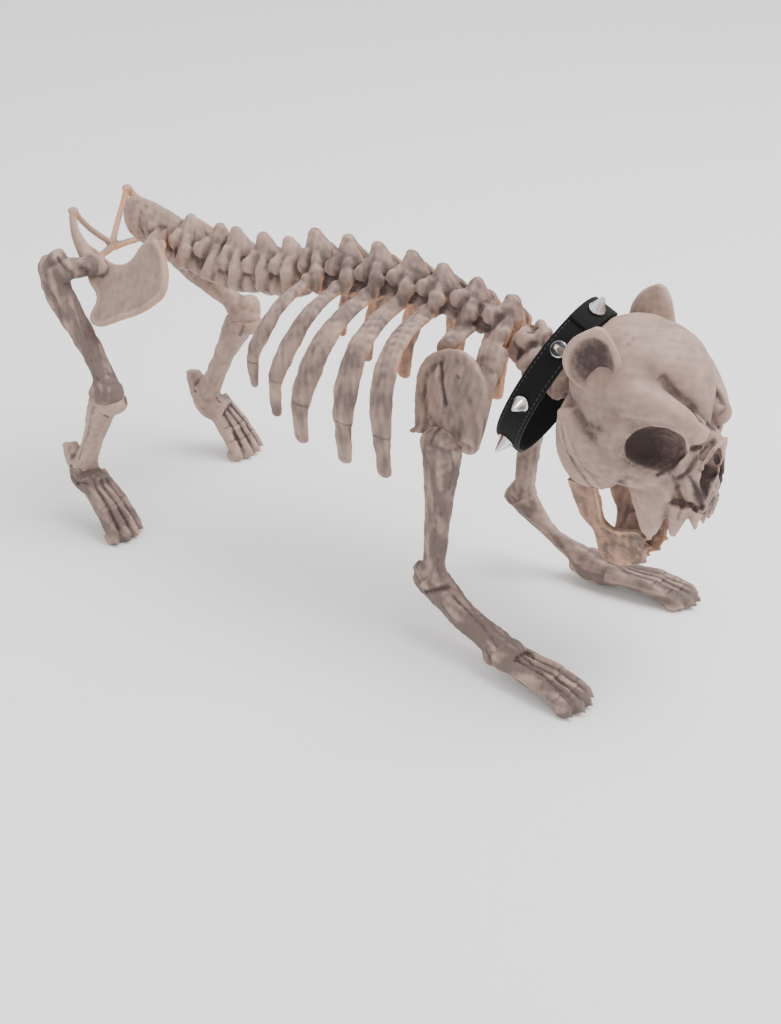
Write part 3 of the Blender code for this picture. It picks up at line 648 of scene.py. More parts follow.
def mould(node, pieces, soft, lumps, late=(), voxel=0.0009, carve=(), cuts=(), marks=(), shade_spots=(),
          spray=None, along=(0, 0, 1), twin=False, hollow=1.0):
    """Fused, marked, trimmed and painted bone that takes the place of a solid.

    Soft is the number of rounds of relaxing, and lumps the height of the waves. The late pieces join
    after the others are softened. A mark is a line with a width, a depth (negative for a ridge) and a
    stain; a shade spot is a centre, radii and strength, and paints shade into a deep place; spray is the
    direction that the coat came from; the streaks of dirt and painted shade run along the bone; a twin
    has its marks and shade spots on both sides; hollow is the share of the wash that settles in dips by
    itself.
    """
    body, *others = pieces
    gather(body, others)
    if late or carve:
        reskin(body, voxel * FIRST_VOXEL_SHARE, soft)
        for cutter in carve:
            subtract(body, cutter)
        gather(body, late)
        reskin(body, voxel, LATE_ROUNDS)
    else:
        reskin(body, voxel, soft)
    places = read(body.data.vertices, "co")
    normals = read(body.data.vertex_normals, "vector")
    seed = sum(map(ord, node))
    slow, quick = (waves(places, length, seed + n) for n, length in enumerate(LUMP_LENGTHS))
    push = lumps * (slow * 0.6 + quick * 0.4) - lumps * 0.7
    tree = BVHTree.FromPolygons([Vector(p) for p in places], [tuple(f.vertices) for f in body.data.polygons])
    sides = (False, True) if twin else (False,)
    lines = [(snapped(line, tree, mirror), *rest) for line, *rest in marks for mirror in sides]
    lines = [line for line in lines if len(line[0]) > 1]
    for line, width, depth, _ in lines:
        push -= depth * closeness(places, line, width)
    places = places + normals * push[:, None]
    spots = []
    # Spots of painted shade in deep places, carried into the wash number.
    for centre, radii, strength in shade_spots:
        spot = np.array(on_skin(centre, tree) if len(centre) == 2 else centre)
        spots += [(spot * (1, sign, 1), radii, strength) for sign in ((1, -1) if twin else (1,))]
    body.data.vertices.foreach_set("co", places.ravel())
    body.data.update()
    for cut in cuts:
        subtract(body, cut)
    largest_shell(body)
    paint_numbers(body, lines, spots, spray, voxel, DIRT_AND_SHADE[node], along, seed, hollow)
    return finish(body, node)


def paint_numbers(body, lines, spots, spray, voxel, dirt_and_shade, along, seed, hollow):
    """Write the numbers of wash with painted shade, wear, dirt with painted shade, and coat on the vertices.
    """
    mesh = body.data
    places = read(mesh.vertices, "co")
    fine = hollowness(mesh, FINE_ROUNDS, 0.20 * voxel)
    broad = hollowness(mesh, BROAD_ROUNDS, 1.3 * voxel)
    wash_and_shade = hollow * (0.40 * fine.clip(0, 1) + 0.70 * broad.clip(0, 1))
    for line, width, _, stain in lines:
        wash_and_shade = wash_and_shade + stain * closeness(places, line, 1.5 * width)
    # Painted shade: each spot darkens a deep place through the wash number.
    for centre, radii, strength in spots:
        far = np.linalg.norm((places - centre) / np.array(radii), axis=1)
        wash_and_shade = wash_and_shade + strength * np.clip(1.6 - 1.6 * far, 0, 1)
    axis = np.array(Vector(along).normalized())
    drawn = places - STREAK_STRETCH * np.outer(places @ axis, axis)
    thin, wide = STREAK_LENGTHS
    streaks = 0.5 * waves(drawn, thin, seed + 2) + 0.5 * waves(places, wide, seed + 3)
    # Dirt with painted shade: streaks of dirt, at a level per bone that paints the near limbs darker.
    soil_and_shade = dirt_and_shade * np.clip(0.9 + streaks, 0, 2.2)
    coat = np.ones(len(places))
    if spray is not None:
        facing = read(mesh.vertex_normals, "vector") @ np.array(Vector(spray).normalized())
        coat = np.clip((facing + 0.35) / 0.7, 0, 1)
    worn = np.clip(-0.5 * fine - 0.5 * broad, 0, 1)
    for name, values in (("wash_and_shade", np.clip(wash_and_shade, 0, 1.5)), ("coat", coat), ("dirt_and_shade", soil_and_shade), ("worn", worn)):
        layer = mesh.attributes.new(name, "FLOAT", "POINT")
        layer.data.foreach_set("value", values.astype(np.float32))


def finish(body, node, material=None):
    """Name a finished piece, dress it, and let it stand for its solid."""
    body.data.transform(Matrix.Translation(FRAME_SHIFT))
    body.name = node + "_fine"
    body.data.name = body.name
    body.data.materials.clear()
    body.data.materials.append(material or BONE)
    body.data.shade_smooth()
    body.data.set_sharp_from_angle(angle=SHARP_ANGLE)
    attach(body, "root")
    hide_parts(node)
    TOTAL["faces"] += len(body.data.polygons)
    print(node, len(body.data.polygons), "faces")
    return body


print("ready to mould")

# %% [markdown]
# ## The backbone
#
# Each vertebra is a spool with a waist, a pyramid of bone on top and two pairs of lobes beside it. The
# front lobes run down into a low ridge, and in the loin a ball between the ridges closes the wall. A real
# spine could be copied vertebra by vertebra, but the moulded one repeats a single form that grows and
# shrinks with the crest line, so a loop does it. The loin, the chest and the neck are separate mouldings
# with flat ends, and painted shade darkens the bone in front of each process and under its side lobes.

# %% Vertebrae
SPOOL_WAIST = ((-0.0070, 0.94), (-0.0025, 0.80), (0.0035, 0.80), (0.0080, 0.95))
PROCESS_SECTIONS = ((0.05, 0.0112, 0.0130), (0.35, 0.0102, 0.0116), (0.60, 0.0084, 0.0088),
                    (0.82, 0.0062, 0.0062), (0.96, 0.0040, 0.0040))


def vertebra_x(k):
    """Middle of a vertebra, counted from the first lumbar one."""
    return FIRST_LUMBAR_X + VERTEBRA_STEP * k


def vertebra(k):
    """Spool, arch, spinous process and side lobes of one vertebra."""
    draw = np.random.default_rng(40 + k)
    x = vertebra_x(k)
    z = spine_z(x)
    slope = (spine_z(x + 0.005) - spine_z(x - 0.005)) / 0.010
    reach = VERTEBRA_STEP / 2 + 0.001
    tall = crest_z(x) - z

    def at(dx, y, dz):
        return (x + dx - dz * slope, y, z + dz + dx * slope)

    spool = [(*at(dx, 0, 0), CENTRUM_RADIUS * grow * 0.9, CENTRUM_RADIUS * grow)
             for dx, grow in ((-reach, 1.0), *SPOOL_WAIST, (reach, 1.0))]
    process = [(*at(0.003 - 0.003 * height, 0, tall * height), *halves)
               for height, *halves in PROCESS_SECTIONS]
    pieces = [bone(spool, across=(0, 1, 0)), bone(process),
              ball(at(0.0005, 0, tall * 0.90), (0.0050, 0.0044, 0.0046))]
    if k < LUMBAR_COUNT:
        pieces += [ball(at(0.001, 0, -0.0010), (0.0124, 0.0126, 0.0128)),
                   ball(at(0.0112, 0, -0.0030), (0.0080, 0.0132, 0.0104))]
    for side in (-1, 1):
        jitter = draw.uniform(-0.0010, 0.0010, 4)
        front = at(0.0052 + jitter[0], side * 0.0118, 0.0050 + jitter[1])
        rear = at(-0.0054 + jitter[2], side * 0.0106, 0.0086 + jitter[3])
        low = at(0.0010, side * 0.0118, -0.0060)
        pieces += [ball(front, (0.0058, 0.0040, 0.0062)), ball(rear, (0.0050, 0.0036, 0.0058)),
                   rod([front, low], [0.0050, 0.0044]), rod([at(0.002, 0, -0.001), low], [0.0070, 0.0044]),
                   rod([rear, at(-0.002, side * 0.006, tall * 0.66)], [0.0044, 0.0034]),
                   rod([front, at(0.004, side * 0.006, tall * 0.58)], [0.0052, 0.0036])]
    return pieces


def backbone(first, count):
    """Pieces of a run of vertebrae."""
    return [piece for k in range(first, first + count) for piece in vertebra(k)]


def valleys(first, count):
    """Spots of painted shade in front of the processes and under the side lobes of a run of vertebrae."""
    spots = []
    for x in map(vertebra_x, range(first, first + count)):
        height = 0.4 * spine_z(x) + 0.6 * crest_z(x)
        # Painted shade in front of each process and under its side lobes.
        spots += [((x + 0.0085, side * 0.0070, height), (0.0060, 0.0075, 0.0085), 0.50) for side in (-1, 1)]
        spots += [((x - 0.0020, side * 0.0120, spine_z(x) + 0.001), (0.0035, 0.0060, 0.0060), 0.35)
                  for side in (-1, 1)]
    return spots


def build_loin():
    """Lumbar vertebrae, which swell at the rear to the section of the sacrum."""
    swell = bone([(-0.146, 0, 0.192, 0.0100, 0.0155), (-0.134, 0, 0.190, 0.0096, 0.0142),
                  (-0.126, 0, 0.188, 0.0085, 0.0120), (-0.116, 0, 0.185, 0.0060, 0.0090)], across=(0, 1, 0))
    mould("loin", backbone(0, LUMBAR_COUNT) + [swell], shade_spots=valleys(0, LUMBAR_COUNT), soft=12, lumps=0.0008,
          hollow=0.8, cuts=[half_space((LOIN_REAR_X, 0, 0.19), (-1, 0, 0), 0.06),
                            half_space((CHEST_REAR_X, 0, 0.19), (1, 0, 0), 0.06)])


build_loin()

# %% [markdown]
# ## The neck
#
# On the prop two more vertebrae run down into the back of the head. A plain rod could join them, but the
# gap in the collar shows them, so they are the same vertebrae again around a core.

# %% Neck


def build_neck():
    """Last vertebrae and the core that runs into the skull."""
    first = LUMBAR_COUNT + THORACIC_COUNT
    pieces = backbone(first, NECK_COUNT)
    pieces.append(rod([(0.118, 0, 0.184), (0.140, 0, 0.174), (0.166, 0, 0.168)], [0.011, 0.012, 0.013]))
    mould("neck", pieces, shade_spots=valleys(first, NECK_COUNT), soft=12, lumps=0.0008,
          cuts=[half_space((NECK_REAR_X, 0, 0.185), (-1, 0, 0.3), 0.05),
                half_space((SKULL_REAR_X, 0, 0.17), (1, 0, 0), 0.05)])


build_neck()

# %% [markdown]
# ## The rib cage
#
# A rib leaves its vertebra, bows out and hangs down. On the prop each one ends in a slightly narrower
# tip with a step and a dark line across it, as if a peg had been pushed in. The coat was sprayed from
# outside, so the edges and the inner faces stay orange. The cage is split along the middle. Ribs could
# be bent rods, but a loft keeps them flat, wider in the middle and thin at the edge.

# %% Ribs
RIB_STEP_AT = 0.27
RIB_TIP_SHRINK = 0.92
RIB_TAPER = 0.10


def rib_stations(k, side):
    """Centre line and section of a rib, from its root down to its tip."""
    rows = []
    for out, drop in RIB_BOW:
        x = vertebra_x(LUMBAR_COUNT + k) + RIB_SWING[k] * min(1.0, 1.35 * (1 - drop))
        z = RIB_TIP_Z[k] + (RIB_ROOT_Z - RIB_TIP_Z[k]) * drop
        swell = 0.78 + 0.22 * math.sin(math.pi * min(1.0, 1.25 * (1 - drop)))
        rows.append((x, side * RIB_TIP_Y[k] * out, z, RIB_WIDTH[k] * swell, RIB_DEPTH))
    return rows


def rib(k, side):
    """Upper part and narrower tip of one rib, with the dark line where they meet."""
    rows = smooth_path(rib_stations(k, side))
    tip_z = RIB_TIP_Z[k]
    step_z = tip_z + (RIB_ROOT_Z - tip_z) * RIB_STEP_AT
    upper = [row for row in rows if row[2] > step_z - 0.001]
    lower = [list(row) for row in rows if row[2] < step_z + 0.006]
    for row in lower:
        shrink = RIB_TIP_SHRINK * (1 - RIB_TAPER * max(0.0, (step_z - row[2]) / (step_z - tip_z)))
        row[3] *= shrink
        row[4] *= shrink
    end = upper[-1]
    half = end[3] * 0.95
    line = [(end[0] - half, end[1] + side * 0.001, end[2] + 0.0005),
            (end[0], end[1] + side * RIB_DEPTH, end[2]),
            (end[0] + half, end[1] + side * 0.001, end[2] - 0.0005)]
    tip = ball(rows[-1][:3], (RIB_WIDTH[k] * RIB_TIP_SHRINK * 0.72, RIB_DEPTH * 0.8, 0.0040))
    parts = [bone(upper[::3] + [upper[-1]]), bone(lower[::2] + [lower[-1]]), tip]
    return parts, (line, 0.0006, 0.00025, 0.9)


def build_chest(side, tag):
    """One side of the rib cage, with the two short flat ribs under the shoulder blade."""
    pieces = backbone(LUMBAR_COUNT, THORACIC_COUNT)
    marks = []
    for k in range(len(RIB_TIP_Y)):
        parts, mark = rib(k, side)
        pieces += parts
        marks.append(mark)
        root_x = vertebra_x(LUMBAR_COUNT + k)
        pieces.append(ball((root_x, side * 0.0150, RIB_ROOT_Z + 0.001), (0.0052, 0.0046, 0.0046)))
    pieces.append(bone(sided(side, (0.092, 0.010, 0.191, 0.007, 0.004), (0.089, 0.022, 0.185, 0.007, 0.004),
                             (0.085, 0.0295, 0.175, 0.006, 0.004), (0.083, 0.0315, 0.166, 0.004, 0.003))))
    pieces.append(bone(sided(side, (0.111, 0.008, 0.188, 0.009, 0.005), (0.114, 0.018, 0.182, 0.010, 0.005),
                             (0.115, 0.024, 0.174, 0.010, 0.004), (0.115, 0.029, 0.164, 0.009, 0.004))))
    cuts = [half_space((0.045, 0, 0.190), (0, -side, 0), 0.30),
            half_space((CHEST_REAR_X, 0, 0.190), (-1, 0, 0), 0.06),
            half_space((NECK_REAR_X, 0, 0.185), (1, 0, -0.3), 0.035),
            half_space((0.105, side * 0.0265, 0.176), (0, side, 0), 0.05)]
    mould("chest_" + tag, pieces, cuts=cuts, marks=marks, shade_spots=valleys(LUMBAR_COUNT, THORACIC_COUNT),
          soft=8, lumps=0.0006, spray=(-0.25, side * 0.85, 0.5))


for SIDE, TAG in SIDES:
    build_chest(SIDE, TAG)

# %% [markdown]
# ## The hips
#
# The sacrum carries two thin blades that flare outwards, and behind them the hip bones run up into a
# pair of loops of thin bone. All of it could be carved from a block. Here a blade is a flat outline
# given thickness, as it was moulded, and the loops are bent rods, so each has a thickness that is set.

# %% Sacrum and hip bones
HIP_OUTLINE = ((0.014, 0.031), (0.027, 0.019), (0.034, 0.000), (0.023, -0.015), (0.007, -0.025),
               (-0.008, -0.033), (-0.016, -0.029), (-0.0155, -0.016), (-0.027, -0.006), (-0.041, 0.007),
               (-0.045, 0.015), (-0.030, 0.014), (-0.016, 0.009), (-0.001, 0.011), (0.005, 0.024))
HIP_RIDGE = ((-0.020, 0.004), (-0.006, 0.004), (0.004, 0.012))


def build_sacrum():
    """Fused end of the backbone with the stump of the tail."""
    pieces = [bone([(-0.126, 0, 0.189, 0.010, 0.014), (-0.146, 0, 0.192, 0.010, 0.0155),
                    (-0.160, 0, 0.195, 0.0085, 0.0165), (-0.172, 0, 0.198, 0.0065, 0.0150),
                    (-0.179, 0, 0.1995, 0.0040, 0.0110)], across=(0, 1, 0)),
              ball((-0.168, 0, 0.203), (0.0065, 0.0045, 0.0085)),
              ball((-0.146, 0, 0.201), (0.006, 0.005, 0.006)),
              ball((-0.157, 0, 0.206), (0.005, 0.0035, 0.005))]
    marks = []
    for side in (-1, 1):
        wing = sided(side, (-0.140, 0, 0.192, 0.0100, 0.0080), (-0.140, 0.012, 0.191, 0.0090, 0.0070),
                     (-0.139, 0.024, 0.188, 0.0085, 0.0050))
        pieces += [bone(wing),
                   ball((-0.134, side * 0.011, 0.198), 0.0045),
                   ball((-0.149, side * 0.0065, 0.197), (0.0060, 0.0045, 0.0050))]
        marks.append((sided(side, (-0.158, 0.008, 0.188), (-0.161, 0.007, 0.196), (-0.160, 0.005, 0.203)),
                      0.0016, 0.0004, 0.3))
    mould("sacrum", pieces, marks=marks, soft=9, lumps=0.0008,
          cuts=[half_space((LOIN_REAR_X, 0, 0.19), (1, 0, 0), 0.06)])


def build_hip_bone(side, tag):
    """Flared blade, loop struts and the seat of the thigh bone."""
    hip = HIP[tag]
    tip = (-0.201, side * 0.026, 0.2025)
    place = (Matrix.Translation((-0.150, side * 0.037, 0.170)) @ Matrix.Rotation(HIP_FLARE * side, 4, "X")
             @ Matrix.Rotation(math.radians(90), 4, "X"))
    pieces = [plate(HIP_OUTLINE, 0.0050, place),
              rod([*sided(side, (-0.174, 0.0375, 0.172), (-0.183, 0.0360, 0.1805), (-0.192, 0.0335, 0.1885),
                          (-0.198, 0.030, 0.196)), tip], [0.0052, 0.0052, 0.0038, 0.0028, 0.0030]),
              ball(tip, (0.0042, 0.0036, 0.0030)),
              rod([tip, (-0.199, side * 0.014, 0.187), (-0.194, 0, 0.173)], [0.0026, 0.0022, 0.0026]),
              rod(sided(side, (-0.176, 0.040, 0.178), (-0.186, 0.020, 0.173), (-0.194, 0, 0.171)),
                  [0.0045, 0.0026, 0.0030]),
              bone(sided(side, (-0.134, 0.0235, 0.1885, 0.0060, 0.0026),
                         (-0.137, 0.019, 0.1900, 0.0065, 0.0036),
                         (-0.141, 0.013, 0.1900, 0.0055, 0.0036))),
              ball((hip[0] + 0.002, side * 0.0380, hip[2]), (0.0090, 0.0030, 0.0090))]
    border = [place @ Vector((0.94 * u, 0.94 * v, -0.0025 * side)) for u, v in HIP_OUTLINE[:12]]
    ridge = [place @ Vector((u, v, -0.0025 * side)) for u, v in HIP_RIDGE]
    mould("hip_bone_" + tag, pieces, voxel=0.0007, soft=8, lumps=0.0003, spray=(0, side, 0.6),
          marks=[(border, 0.0020, -0.0006, 0.0), (ridge, 0.0030, -0.0005, 0.0)],
          cuts=[half_space((-0.190, 0, 0.172), (0, -side, 0), 0.03)])


build_sacrum()
for SIDE, TAG in SIDES:
    build_hip_bone(SIDE, TAG)

# %% [markdown]
# ## The shoulder blade
#
# On the prop the blade is a thick oval plate with a raised border, a dark slot and a hooked corner, and
# it is cut away where the collar passes. It could be a plain extrusion, but its face swells in the
# middle, so a flat pod is fused into the plate. The collar's own oval is set out here, because the blade
# is the first piece that has to keep clear of it.

# %% Shoulder blade
BLADE_OUTLINE = ((-0.006, 0.026), (-0.018, 0.020), (-0.024, 0.009), (-0.025, -0.002), (-0.024, -0.013),
                 (-0.020, -0.028), (-0.006, -0.026), (0.004, -0.027), (0.012, -0.032), (0.019, -0.032),
                 (0.023, -0.024), (0.024, -0.008), (0.022, 0.010), (0.014, 0.021), (0.004, 0.027))


def collar_point(angle, outward=0.0, along=0.0):
    """Point of the collar: angle from the top, distance out from the strap's middle and across it."""
    y = (COLLAR_HALF_WIDTH + outward) * math.sin(angle)
    up = (COLLAR_HALF_HEIGHT + outward) * math.cos(angle)
    return Vector(COLLAR_CENTRE) + Matrix.Rotation(COLLAR_LEAN, 3, "Y") @ Vector((along, y, up))


def collar_normal(angle):
    """Direction square to the strap's outer face."""
    across = Vector((0, COLLAR_HALF_HEIGHT * math.sin(angle), COLLAR_HALF_WIDTH * math.cos(angle)))
    return (Matrix.Rotation(COLLAR_LEAN, 3, "Y") @ across).normalized()


def strap_cutter(sides=64):
    """Closed band a little larger than the strap, which keeps neighbours clear of it."""
    half = STRAP_THICKNESS / 2 + COLLAR_CLEARANCE
    wide = STRAP_WIDTH / 2 + COLLAR_CLEARANCE
    corners = ((-half, -wide), (half, -wide), (half, wide), (-half, wide))

    def fill(bm):
        rings = [[bm.verts.new(collar_point(2 * math.pi * n / sides, *corner)) for corner in corners]
                 for n in range(sides)]
        for here, after in zip(rings, rings[1:] + rings[:1]):
            for m in range(4):
                bm.faces.new((here[m], after[m], after[(m + 1) % 4], here[(m + 1) % 4]))

    return mesh_object("strap_cutter", fill)


def build_blade(side, tag):
    """Shoulder blade with its raised border and slot."""
    s = Vector(SHOULDER[tag])
    width = BLADE_WIDTH[tag]
    place = (Matrix.Translation((BLADE_X[tag], side * 0.0355, s.z + 0.025))
             @ Matrix.Rotation(math.radians(90 + 11 * side), 4, "X"))

    def on_blade(u, v, lift=0.0):
        return place @ Vector((u * width, v, -side * (0.0028 + lift)))

    ring = [(0.86 * u, 0.84 * v) for u, v in BLADE_OUTLINE[1:6]]
    slot = [on_blade(u, v) for u, v in ((-0.0085, 0.0165), (-0.0050, 0.006), (-0.0010, -0.005))]
    marks = [([on_blade(u, v) for u, v in ring], 0.0018, -0.0005, 0.0),
             ([on_blade(0.82 * u, 0.86 * v) for u, v in ring], 0.0020, 0.0003, 0.10),
             (slot, 0.0014, 0.0011, 0.95),
             ([on_blade(0.004, 0.0125), on_blade(0.005, 0.0115)], 0.0007, 0.0005, 1.0)]
    pieces = [plate([(u * width, v) for u, v in BLADE_OUTLINE], 0.0050, place),
              pod(on_blade(0.002, -0.024, -0.002), on_blade(-0.001, 0.022, -0.002), 0.0190 * width, 0.0048,
                  across=(1, 0, 0)),
              rod([on_blade(-0.017, -0.026, -0.002), on_blade(-0.0255, -0.0290, -0.002)], [0.0036, 0.0016]),
              bone(sided(side, (0.115, 0.022, 0.176, 0.008, 0.004), (0.115, 0.030, 0.166, 0.009, 0.004),
                         (0.114, 0.036, s.z + 0.018, 0.009, 0.005), (0.113, 0.040, s.z, 0.007, 0.005)))]
    mould("shoulder_blade_" + tag, pieces, soft=9, lumps=0.0006, marks=marks, spray=(0.2, side, 0.1),
          cuts=[half_space((s.x - 0.003, s.y, s.z - 0.002), (0, 0, -1), 0.034), strap_cutter()])


print("opening of the collar in mm", 2000 * COLLAR_HALF_WIDTH, "by", 2000 * COLLAR_HALF_HEIGHT)

# %% [markdown]
# ## The arm
#
# The upper arm is one shaft with a knuckled head. The forearm is two bones side by side with a groove
# between them, and at the elbow a spur points back. They could be turned cones, but the prop's limbs
# bow and swell unevenly, so each is a few rods through the joints. The far arm is the slimmer one in
# the photograph. The cracks that the photograph shows are marks at their places in the picture.

# %% Upper arm and forearm
ARM_SLIM = {"right": 1.0, "left": 0.88}
FOREARM_SLIM = {"right": 1.0, "left": 0.68}
FOREARM_RADII = {"right": (0.0092, 0.0084), "left": (0.0070, 0.0050)}
HUMERUS_LINES = (
    ([(431, 441), (436, 430), (446, 423), (457, 424), (464, 433), (464, 446)], 0.0012, 0.0009, 0.85),
    ([(429, 445), (437, 448), (447, 452), (456, 449)], 0.0014, 0.0007, 0.60),
    ([(452, 455), (454, 470), (450, 488)], 0.0011, 0.0008, 0.60),
    ([(441, 513), (442, 515)], 0.0008, 0.0007, 1.2),
    ([(432, 470), (434, 500), (434, 540)], 0.0014, 0.0005, 0.30),
    ([(438, 560), (440, 575), (447, 584)], 0.0012, 0.0006, 0.40))
FOREARM_LINES = (
    ([(425, 593), (436, 590), (448, 586.5)], 0.0012, 0.0012, 1.3),
    ([(455, 597), (475, 618), (493, 641), (506, 664)], 0.0014, 0.0009, 0.55),
    ([(441, 606), (459, 629), (483, 649), (492, 662)], 0.0012, 0.0007, 0.45),
    ([(470, 604), (488, 630), (508, 650)], 0.0012, 0.0005, 0.30),
    ([(497, 668), (503, 660), (512, 655)], 0.0011, 0.0007, 0.70))
FAR_FOREARM_LINE = ([(567, 577), (580, 575), (596, 568)], 0.0016, 0.0004, 0.5)


def build_upper_arm(side, tag):
    """Shaft of the upper arm with its head and its two knuckles."""
    s = Vector(SHOULDER[tag])
    e = Vector(ELBOW[tag])
    slim = ARM_SLIM[tag]
    pieces = [rod([s + Vector((0, 0, -0.003)), s.lerp(e, 0.14), s.lerp(e, 0.5), s.lerp(e, 0.80), e],
                  [0.0115 * slim, 0.0120 * slim, 0.0088 * slim, 0.0076, 0.0078]),
              ball(s + Vector((-0.002, side * 0.001, -0.005)), (0.0130, 0.0115, 0.0105)),
              ball(s + Vector((0.005, side * 0.004, -0.009)), (0.0075, 0.0070, 0.0100)),
              ball(e + Vector((0.002, 0, 0.004)), (0.0078, 0.0080, 0.0070)),
              ball(e + Vector((-0.003, 0, 0.005)), (0.0068, 0.0078, 0.0068))]
    groove = [s.lerp(e, t) + Vector((0.004, side * y, 0)) for t, y in ((0.5, 0.007), (0.8, 0.008))]
    marks = [(groove, 0.0012, 0.0005, 0.30)]
    if side < 0:
        marks += HUMERUS_LINES
    else:
        front = Vector((0.0075, side * 0.006, 0))
        marks.append(([s.lerp(e, t) + front * out for t, out in ((0.10, 1.0), (0.24, 0.8), (0.36, 0.9))],
                      0.0012, 0.0006, 0.5))
    mould("humerus_" + tag, pieces, soft=7, lumps=0.0008, marks=marks, along=s - e)


def build_forearm(side, tag):
    """Two bones side by side, and the spur of the elbow."""
    e = Vector(ELBOW[tag])
    w = Vector(WRIST[tag])
    slim = ARM_SLIM[tag]
    thin = FOREARM_SLIM[tag]
    middle = e.lerp(w, 0.48) + Vector((0, 0, -FOREARM_SAG[tag]))
    pieces = [rod([e + Vector((-0.001, 0, 0.001)), e.lerp(w, 0.2) + Vector((0, 0, -0.002)), middle,
                   w + Vector((0.003, 0, 0))], [0.0098, *FOREARM_RADII[tag], 0.0100 * slim]),
              rod([e + Vector((-0.010, 0, 0.001)), e + Vector((-0.004, 0, -0.006)),
                   middle + Vector((-0.004, 0, -0.004)) * thin,
                   e.lerp(w, 0.85) + Vector((-0.001, 0, -0.004))],
                  [0.0060, 0.0065 * thin, 0.0056 * thin * thin, 0.0060 * slim]),
              bone([(e.x - 0.001, e.y, e.z, 0.0085, 0.0085),
                    (e.x - 0.0080, e.y, e.z + 0.0030 * thin, 0.0066, 0.0070),
                    (e.x - 0.0135 * slim, e.y, e.z + 0.0060 * thin, 0.0038, 0.0040)],
                   across=(0, 1, 0), sides=6),
              ball(w + Vector((-0.004, side * 0.001, -0.003)), (0.0080, 0.0095, 0.0070))]
    marks = list(FOREARM_LINES)
    if side > 0:
        outer = Vector((0, side * 0.0085, 0))
        groove = [e + outer + Vector((0, 0, -0.004)), middle + outer + Vector((0, 0, -0.003)),
                  w + outer * 0.9]
        marks = [(groove, 0.0013, 0.0006, 0.3), FAR_FOREARM_LINE]
    mould("forearm_" + tag, pieces, soft=7, lumps=0.0007, marks=marks, along=e - w)


for SIDE, TAG in SIDES:
    build_blade(SIDE, TAG)
    build_upper_arm(SIDE, TAG)
    build_forearm(SIDE, TAG)

# %% [markdown]
# ## The fore paws
#
# The prop's paw has four equal toes in a row on flat soles. Each could be modelled on its own, but they
# repeat, so one loop makes them: a long metapodial, a knuckle, a short toe and a blunt claw. The rods
# overlap, so the toes fuse with grooves between them as in the mould. The far paw has a thick wrist in
# the photograph.

# %% Toes and fore paws
TOE_COUNT = 4
TOE_HEIGHT = 0.0042
FORE_TOE_START = {"right": 0.004, "left": 0.018}
FORE_TOE_SPREAD = {"right": 0.0115, "left": 0.0100}
WRIST_LINES = (([(515, 660), (522, 655), (530, 652), (534, 658)], 0.0009, 0.0008, 0.45),
               ([(528, 650), (531, 662), (543, 674)], 0.0009, 0.0005, 0.25))


def toes(starts, tips):
    """Four metapodials, knuckles, toes and claws, and the lines of the grooves between them."""
    pieces, marks = [], []
    rise = Vector((0, 0, 0.0030))
    for start, tip in zip(starts, tips):
        knuckle = start.lerp(tip, 0.60) + rise
        joint = knuckle.lerp(tip, 0.55) + Vector((0, 0, 0.0008))
        ahead = Vector((tip.x - start.x, tip.y - start.y, 0)).normalized()
        pieces += [rod([start, start.lerp(knuckle, 0.5), knuckle], [0.0060, 0.0050, 0.0052]),
                   ball(knuckle, (0.0056, 0.0051, 0.0052)), rod([knuckle, joint], [0.0047, 0.0043]),
                   ball(joint, (0.0050, 0.0047, 0.0045)), rod([joint, tip + ahead * 0.001], [0.0045, 0.0041]),
                   ball(tip - ahead * 0.002 - Vector((0, 0, 0.0003)), (0.0062, 0.0048, 0.0047)),
                   tooth(tip + ahead * 0.0010 + Vector((0, 0, 0.0008)),
                         tip + ahead * 0.0062 - Vector((0, 0, 0.0016)), 0.0036)]
        for crease in (knuckle.lerp(joint, 0.35), joint.lerp(tip, 0.45)):
            marks.append(([crease + Vector((0, y, 0.006)) for y in (-0.003, 0.003)], 0.0007, 0.0004, 0.4))
    for k in range(TOE_COUNT - 1):
        first = starts[k].lerp(starts[k + 1], 0.5) + Vector((0, 0, 0.008))
        last = tips[k].lerp(tips[k + 1], 0.5) + Vector((0, 0, 0.006))
        marks.append(([first, first.lerp(last, 0.5) + rise, last], 0.0010, 0.0005, 0.45))
    return pieces, marks


def build_paw(side, tag):
    """Fore foot with four toes in a row, standing on flat soles."""
    root = Vector(WRIST[tag])
    toe_x, toe_y = FORE_TOE[tag]
    starts, tips = [], []
    for k in range(TOE_COUNT):
        offset = (k - 1.5) / 1.5
        length = 0.985 - 0.10 * abs(offset)
        starts.append(Vector((root.x + FORE_TOE_START[tag], root.y + offset * 0.0058, root.z - 0.001)))
        tips.append(Vector((root.x + (toe_x - root.x) * length, toe_y + offset * FORE_TOE_SPREAD[tag],
                            TOE_HEIGHT)))
    pieces, marks = toes(starts, tips)
    pieces += [ball(root + Vector((0.004, 0, -0.001)), (0.0118, 0.0110, 0.0110)),
               pod((root.x + 0.002, root.y, 0.010), (toe_x - 0.010, toe_y, 0.0050), 0.0098, 0.0046)]
    if side > 0:
        pieces.append(pod((root.x - 0.008, root.y, 0.0125), (root.x + 0.032, root.y + 0.002, 0.0105),
                          0.0118, 0.0108))
    else:
        marks += WRIST_LINES
    mould("fore_paw_" + tag, pieces, soft=6, voxel=0.00075, lumps=0.0005, marks=marks, along=(1, 0, 0),
          cuts=[half_space((root.x + 0.03, root.y, -GAP / 2), (0, 0, -1), 0.14)])


for SIDE, TAG in SIDES:
    build_paw(SIDE, TAG)

# %% [markdown]
# ## The hind limbs
#
# The thigh bone bows to the rear and has its head at right angles to the shaft. The shin widens at the
# knee, and at the hock a flat six-sided spur stands up behind it. The hind foot is steeper than a paw,
# because the dog stands on its toes with the heel in the air. The legs could be posed with an armature,
# but a still model needs none: rods through the joint centres keep the pose in the list of sizes, and
# the same toes serve again.

